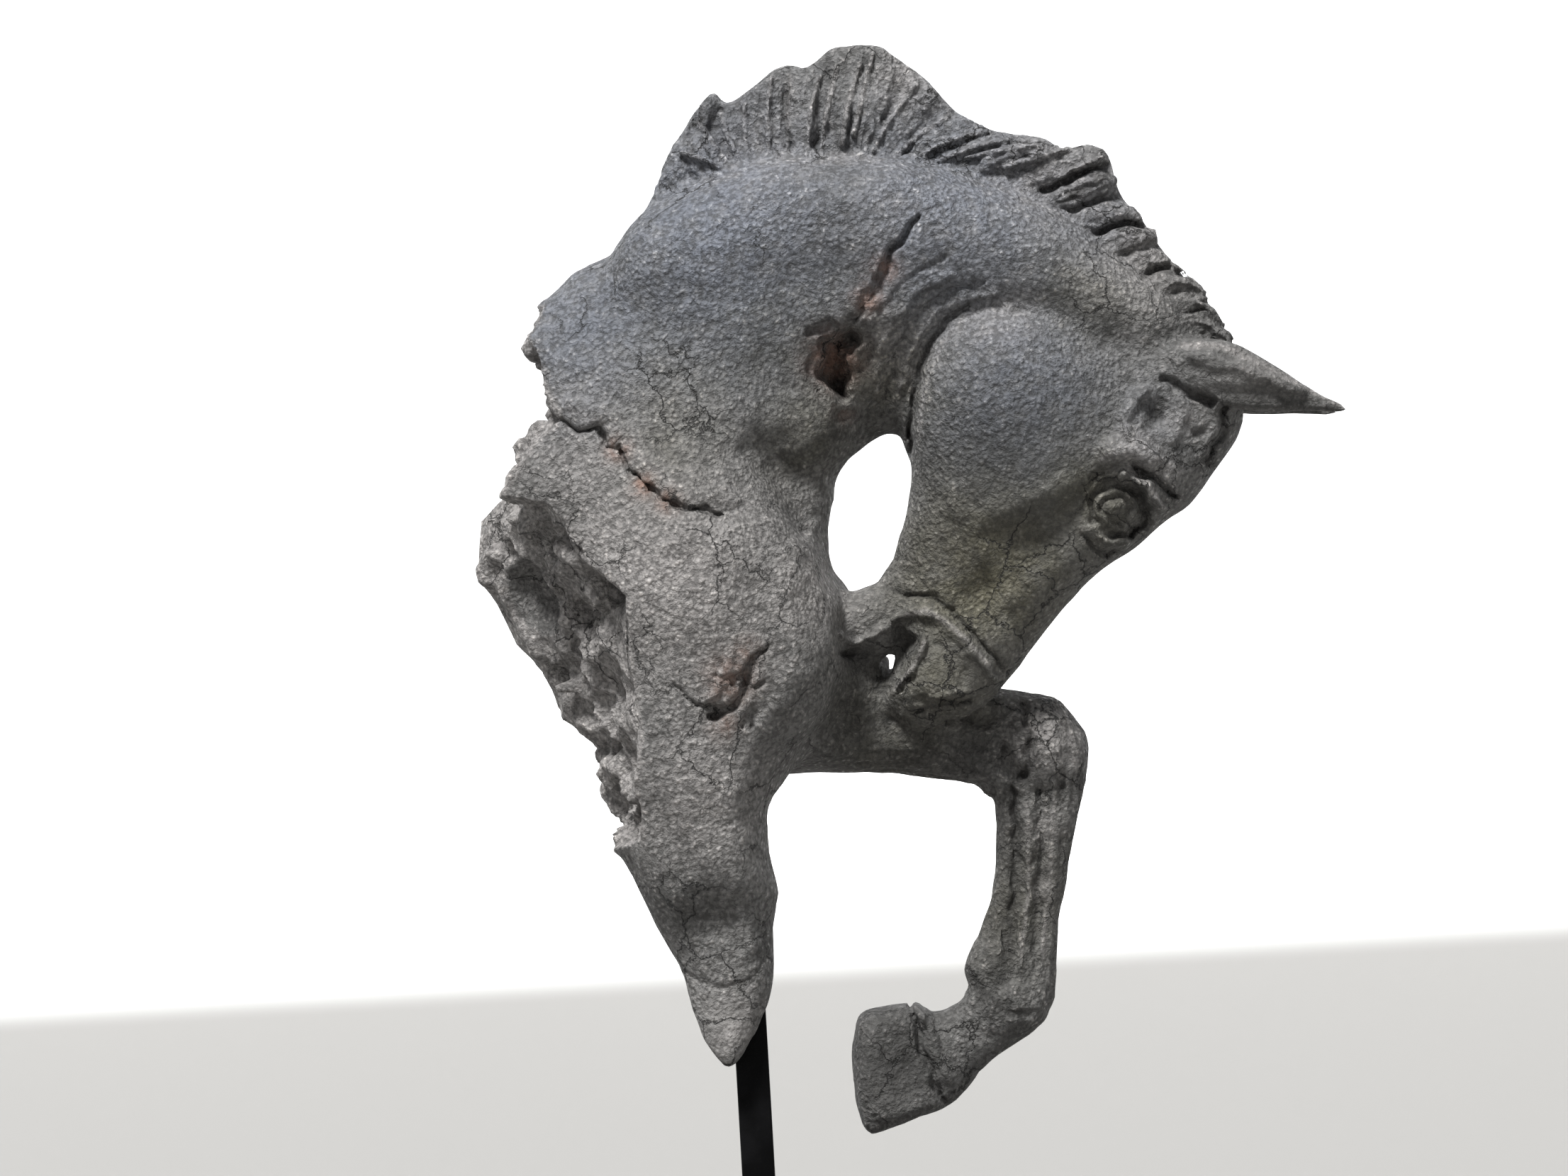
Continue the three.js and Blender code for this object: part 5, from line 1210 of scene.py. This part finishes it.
class HorseSettings(bpy.types.PropertyGroup):
    """Sizes and colours of the ceramic figure."""
    mesh_cell: bpy.props.FloatProperty(
        name="Mesh Cell", description="Spacing of the grid that the form is sampled on, in drawn units",
        default=1.1, min=0.8, max=4.0)
    triangles: bpy.props.IntProperty(
        name="Triangles", description="How many triangles the figure keeps", default=190000)
    grain_size: length("Grain Size", "Size of the grit in the clay", 0.002)
    grain_depth: length("Grain Depth", "How far the grit stands out", 0.001)
    crack_depth: length("Crack Depth", "Depth of the fine cracks", 0.0012)
    dark_clay: tone("Dark Clay", "The darker tone of the fired clay", 0.105, 0.103, 0.099)
    mid_clay: tone("Mid Clay", "The middle tone of the fired clay", 0.17, 0.166, 0.16)
    cool_clay: tone("Cool Clay", "The blue-grey wash on neck and jowl", 0.152, 0.168, 0.205)
    olive_clay: tone("Olive Clay", "The olive-brown wash of throat and face", 0.096, 0.088, 0.056)
    # The tone of painted highlights on lit parts, and of the torn face.
    highlight_and_torn_clay: tone("Pale Clay", "The light tone of shoulder, chest, knee and crest", 0.3, 0.283, 0.272)
    brushed_clay: tone("Brushed Clay", "The pale dry-brushed tone on raised grains", 0.52, 0.485, 0.46)
    cool_tops: tone("Cool Tops", "The blue-white tone on raised grains of neck and jowl", 0.46, 0.49, 0.54)
    olive_tops: tone("Olive Tops", "The sandy tone on raised grains of throat and face", 0.43, 0.4, 0.3)
    bare_clay: tone("Bare Clay", "The red-brown clay in chips and gouges", 0.27, 0.15, 0.105)
    # The near-black of painted shade, and of the fine cracks and grain gaps.
    shade_black: tone("Soot", "The near-black of hollows and cracks", 0.014, 0.013, 0.0115)


class StandSettings(bpy.types.PropertyGroup):
    """Sizes and colours of the steel stand."""
    corner: length("Plate Corner", "Radius of the plate's upright corners", 0.004)
    edge: length("Rolled Edge", "Radius of the softened edges", 0.0008)
    paint: tone("Black Paint", "Colour of the painted steel", 0.0022, 0.0022, 0.0024)


class StageSettings(bpy.types.PropertyGroup):
    """The camera and lights."""
    distance: length("Camera Distance", "From the camera to the figure's middle plane", 2.2)
    key_strength: bpy.props.FloatProperty(
        name="Key Strength", description="Strength of the soft light above and to the left", default=5.9)
    key_softness: bpy.props.FloatProperty(
        name="Key Softness", description="How wide the key light looks from the figure",
        default=math.radians(14), unit="ROTATION")
    room_light: bpy.props.FloatProperty(
        name="Room Light", description="Strength of the white room around", default=0.34)


def torn_share(points, normals):
    """1 on the torn face at the left, 0 on the skin."""
    gap = break_plane(*points.T)
    return smooth_share(gap, -1.6, -0.2) * smooth_share(-normals[:, 0], -0.2, 0.25)


def ridged(points, size, seed):
    """Noise with sharp ridges, from -0.5 to 0.5."""
    return 0.5 - np.abs(lattice_noise(points, size, seed)) * 1.6


def roughen(mesh):
    """Small lumps over the skin, broken facets on the tear, chipped gouges and a barky leg."""
    points, normals, edges = read_mesh(mesh)
    x, z = points[:, 0], points[:, 2]
    torn = torn_share(points, normals)
    broad = smoothed(normals, edges, 14)
    broad /= np.maximum(np.linalg.norm(broad, axis=1), 1e-6)[:, None]
    inner = smooth_share(smoothed(torn, edges, 12)[:, 0], 0.55, 0.98)
    tear = np.zeros(len(points))
    some = inner > 0
    spots = points[some]
    tear[some] = 5.2 * facets(spots, 15, 3) + 1.8 * facets(spots, 7, 13)
    tear = smoothed(tear, edges, 3)[:, 0]
    lumps = 0.55 * lattice_noise(points, 13, 1) + 0.38 * lattice_noise(points, 4.5, 2) \
        + 0.18 * lattice_noise(points, 2.8, 21)
    calm = np.where((x > 45) & (z > 175) & (z < 300), 0.45, 1.0)
    shin = smooth_share(x, 68, 76) * smooth_share(-z, -134, -126) * smooth_share(z, 40, 55)
    forearm = smooth_share(x, 22, 32) * smooth_share(-x, -86, -74) * smooth_share(-z, -170, -160) \
        * smooth_share(z, 124, 130)
    knee = wash([(97, 144, 16, 1.0), (80, 47, 14, 0.8)], x, z)
    bark = shin * ridged(points * (1, 1, 0.14), 3.6, 6) + forearm * ridged(points * (0.2, 1, 1), 4, 7) \
        + knee * ridged(points, 6, 17)
    chips = wash(CLAY_SPOTS, x, z) * smooth_share(-points[:, 1], 0, 8)
    chipped = 2.4 * facets(points, 4.2, 31) + 1.2 * ridged(points, 2.6, 9)
    skin = lumps * calm + 1.3 * bark + chips * chipped
    moved = points + normals * (skin * (1 - torn))[:, None] + broad * (tear * inner)[:, None]
    mesh.vertices.foreach_set("co", moved.astype(np.float32).ravel())
    mesh.update()
    return torn


def record_shade_and_wear(mesh, torn):
    """Painted shade in hollows, grooves and undersides, painted highlights on lit parts and ridges, torn
    clay and washes of colour, as numbers on the vertices.
    """
    points, normals, edges = read_mesh(mesh)
    x, z = points[:, 0], points[:, 2]
    close = smoothed(points, edges, 5)
    broad = smoothed(close, edges, 40)
    sunk_close = ((close - points) * normals).sum(axis=1)
    sunk_broad = ((broad - points) * normals).sum(axis=1)
    # Painted shade: hollows and creases darken where shade falls, more in the grooved spots and less in the
    # even spots and on the torn face.
    grooved = (1 + wash(GROOVED_SPOTS, x, z)) * (1 - wash(EVEN_SPOTS, x, z))
    hollow = smooth_share(sunk_close, 0.14, 0.8) * 0.6 + smooth_share(sunk_broad, 0.9, 3.8) * 0.45
    # Raised places, where the dry brushing is heavier; painted highlight lines are added to them below.
    ridge = smooth_share(-sunk_close, 0.06, 0.45) * 0.7 + smooth_share(-sunk_broad, 0.5, 2.4) * 0.4
    # Painted shade on faces that turn downward.
    under = smooth_share(-normals[:, 2], 0.2, 0.9) * 0.5
    mane = z > 330
    combed = np.zeros(len(x))
    combed[mane] = strongest([line_path(line) for line in MANE_LINES], x[mane], z[mane])
    # Painted shade in the deep gaps between the mane's locks.
    parted = np.zeros(len(x))
    deep = [gap_path(number) for number, depth in enumerate(LOCK_GAPS) if depth > 1.0]
    parted[z > 290] = strongest(deep, x[z > 290], z[z > 290])
    on_mane = smooth_share(z + 0.75 * x, 352, 362) * smooth_share(z, 318, 326)
    parted = parted * np.where(x > 60, 1, on_mane)
    store(mesh, "hollow", np.clip(hollow * grooved * (1 - 0.25 * torn), 0, 1))
    near = smooth_share(-points[:, 1], -4, 6)
    on_leg = (x > 60) & (z < 175)
    faced = np.where(on_leg, 1, near)
    # Painted highlights along the lit edges, and painted shade along the grooves, on the near side and on
    # the leg.
    lit = strongest(HIGHLIGHT_LINES, x, z) * faced
    dark = strongest(SHADE_LINES, x, z) * faced
    combed = np.maximum(combed, 0.85 * lit)
    store(mesh, "ridge", np.clip(np.maximum(ridge * (1 + 0.6 * torn), combed), 0, 1))
    store(mesh, "cool", wash(COOL_WASH, x, z) * (1 - 0.7 * torn))
    store(mesh, "olive", wash(OLIVE_WASH, x, z))
    # Painted highlights on lit parts and combed lines, and the paler torn face.
    highlight_and_torn = np.maximum(wash(HIGHLIGHT_WASH, x, z), torn)
    store(mesh, "highlight_and_torn", np.clip(np.maximum(highlight_and_torn, 0.9 * combed), 0, 1))
    # Painted shade: shade spots, undersides, mane gaps and groove lines, weaker on the combed lines.
    shade_black = np.maximum(wash(SHADE_WASH, x, z), under)
    store(mesh, "shade_black", np.clip(np.maximum(np.maximum(shade_black * (1 - 0.6 * combed), 0.7 * parted),
                                           0.95 * dark),
                                0, 1))
    store(mesh, "calm", wash(CALM_SPOTS, x, z))
    store(mesh, "crackle", wash(GROOVED_SPOTS, x, z))
    store(mesh, "clay", wash(CLAY_SPOTS, x, z) * near)


class OBJECT_OT_ceramic_horse(bpy.types.Operator):
    """Build the ceramic figure: form, torn face, relief, grit, painted highlights and painted shade"""
    bl_idname = "object.ceramic_horse"
    bl_label = "Ceramic Horse"

    def execute(self, context):
        settings = context.scene.horse_settings
        field = HorseForm(RELIEF_CELL)
        value = sample_field(field, settings.mesh_cell)
        points, quads = surface_nets(value, settings.mesh_cell)
        points = settle(points, field, settings.mesh_cell, 1)
        piece = mesh_object("horse_clay", points, quads)
        thin = piece.modifiers.new("thin", "DECIMATE")
        thin.ratio = min(1.0, settings.triangles / (2 * len(quads)))
        applied(piece)
        torn = roughen(piece.data)
        record_shade_and_wear(piece.data, torn)
        placement = figure_placement()
        piece.data.transform(placement @ Matrix.Scale(UNIT, 4))
        piece.data.shade_smooth()
        piece.data.materials.clear()
        piece.data.materials.append(ceramic_material(settings))
        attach(piece, "root")
        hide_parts("horse")
        return {"FINISHED"}


class OBJECT_OT_steel_stand(bpy.types.Operator):
    """Build the square rod and its flat foot"""
    bl_idname = "object.steel_stand"
    bl_label = "Steel Stand"

    def execute(self, context):
        settings = context.scene.stand_settings
        paint = steel_material("black_steel", tuple(settings.paint))
        low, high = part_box("stand_base")
        foot = steel_block("stand_plate", low, high, settings.corner, settings.edge, paint)
        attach(foot, "root")
        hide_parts("stand_base")
        low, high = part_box("stand_rod")
        rod = steel_block("stand_bar", low, high, settings.edge * 1.25, settings.edge, paint)
        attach(rod, "root")
        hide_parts("stand_rod")
        for piece in (foot, rod):
            point_outward(piece)
        return {"FINISHED"}


# The paper is grey underfoot and white behind, and turns from one to the other between two depths.
PAPER_FADE = (2.2, 2.9)
FLOOR_TONE = (0.31, 0.305, 0.295)
WALL_TONE = (0.97, 0.97, 0.97)
KEY_DIRECTION = Vector((0.35, 0.75, -1.3))


def backdrop():
    """A floor of paper that sweeps up into a wall behind."""
    far, bend, top, side, front = 4.4, 0.45, 6.5, 6.5, -4.5
    steps = 24
    line = [(front, 0.0)]
    for k in range(steps + 1):
        angle = math.pi / 2 * k / steps
        line.append((far - bend + bend * math.sin(angle), bend - bend * math.cos(angle)))
    line.append((far, top))
    points = [(x, y, z) for y, z in line for x in (-side, side)]
    faces = [(2 * k, 2 * k + 1, 2 * k + 3, 2 * k + 2) for k in range(len(line) - 1)]
    sweep = mesh_object("pale_sweep", points, faces)
    sweep.data.shade_smooth()
    return sweep


def white_room(strength):
    """A world that lights softly and looks white to the camera."""
    world = bpy.data.worlds.new("room")
    world.use_nodes = True
    n = Nodes(world.node_tree)
    room = world.node_tree.nodes["Background"]
    room.inputs["Color"].default_value = (0.95, 0.97, 1.0, 1)
    room.inputs["Strength"].default_value = strength
    seen = n.add("ShaderNodeBackground", {"Color": (0.96, 0.96, 0.96, 1), "Strength": 1.0})
    path = n.add("ShaderNodeLightPath")
    both = n.add("ShaderNodeMixShader", {0: path.outputs["Is Camera Ray"], 1: room.outputs[0],
                                         2: seen.outputs[0]})
    world.node_tree.links.new(both.outputs[0], world.node_tree.nodes["World Output"].inputs["Surface"])
    return world


class SCENE_OT_studio(bpy.types.Operator):
    """Set the pale floor, the soft lights and the camera"""
    bl_idname = "scene.studio"
    bl_label = "Studio"

    def execute(self, context):
        settings = context.scene.stage_settings
        floor = backdrop()
        material, n, surface = new_material("pale_paper")
        depth = n.add("ShaderNodeSeparateXYZ", {0: n.place()}).outputs["Y"]
        paper = n.mix(n.spread(depth, *PAPER_FADE), colour(FLOOR_TONE), colour(WALL_TONE))
        n.feed(surface["Base Color"], paper)
        n.feed(surface["Roughness"], 1.0)
        n.feed(surface["Specular IOR Level"], 0.0)
        floor.data.materials.append(material)
        aim = figure_placement() @ PHOTO_CENTRE
        key = bpy.data.lights.new("key", "SUN")
        key.energy = settings.key_strength
        key.angle = settings.key_softness
        holder = bpy.data.objects.new("key", key)
        holder.rotation_euler = KEY_DIRECTION.to_track_quat("-Z", "Y").to_euler()
        context.scene.collection.objects.link(holder)
        context.scene.world = white_room(settings.room_light)
        context.scene.view_settings.view_transform = "Standard"
        lens = bpy.data.cameras.new("camera")
        lens.sensor_width = 36.0
        lens.lens = 36.0 * settings.distance / PHOTO_WIDTH
        camera = bpy.data.objects.new("camera", lens)
        upright = Matrix.Rotation(math.pi / 2, 4, "X")
        lean = Matrix.Rotation(FIGURE_LEAN, 4, "Y")
        camera.matrix_world = Matrix.Translation(aim - Vector((0, settings.distance, 0))) @ lean @ upright
        context.scene.collection.objects.link(camera)
        context.scene.camera = camera
        return {"FINISHED"}


class VIEW3D_PT_horse(bpy.types.Panel):
    """The sidebar panel"""
    bl_label = "Ceramic Horse"
    bl_space_type = "VIEW_3D"
    bl_region_type = "UI"
    bl_category = "Horse"

    def draw(self, context):
        for group_name, operator in (("horse_settings", "object.ceramic_horse"),
                                     ("stand_settings", "object.steel_stand"),
                                     ("stage_settings", "scene.studio")):
            settings = getattr(context.scene, group_name)
            box = self.layout.box()
            for name in settings.__annotations__:
                box.prop(settings, name)
            box.operator(operator)


CLASSES = (HorseSettings, StandSettings, StageSettings, OBJECT_OT_ceramic_horse,
           OBJECT_OT_steel_stand, SCENE_OT_studio, VIEW3D_PT_horse)


def register():
    for cls in CLASSES:
        bpy.utils.register_class(cls)
    bpy.types.Scene.horse_settings = bpy.props.PointerProperty(type=HorseSettings)
    bpy.types.Scene.stand_settings = bpy.props.PointerProperty(type=StandSettings)
    bpy.types.Scene.stage_settings = bpy.props.PointerProperty(type=StageSettings)


def unregister():
    for name in ("horse_settings", "stand_settings", "stage_settings"):
        delattr(bpy.types.Scene, name)
    for cls in reversed(CLASSES):
        bpy.utils.unregister_class(cls)


def main():
    register()
    bpy.ops.object.ceramic_horse()
    bpy.ops.object.steel_stand()
    bpy.ops.scene.studio()


if __name__ == "__main__":
    main()
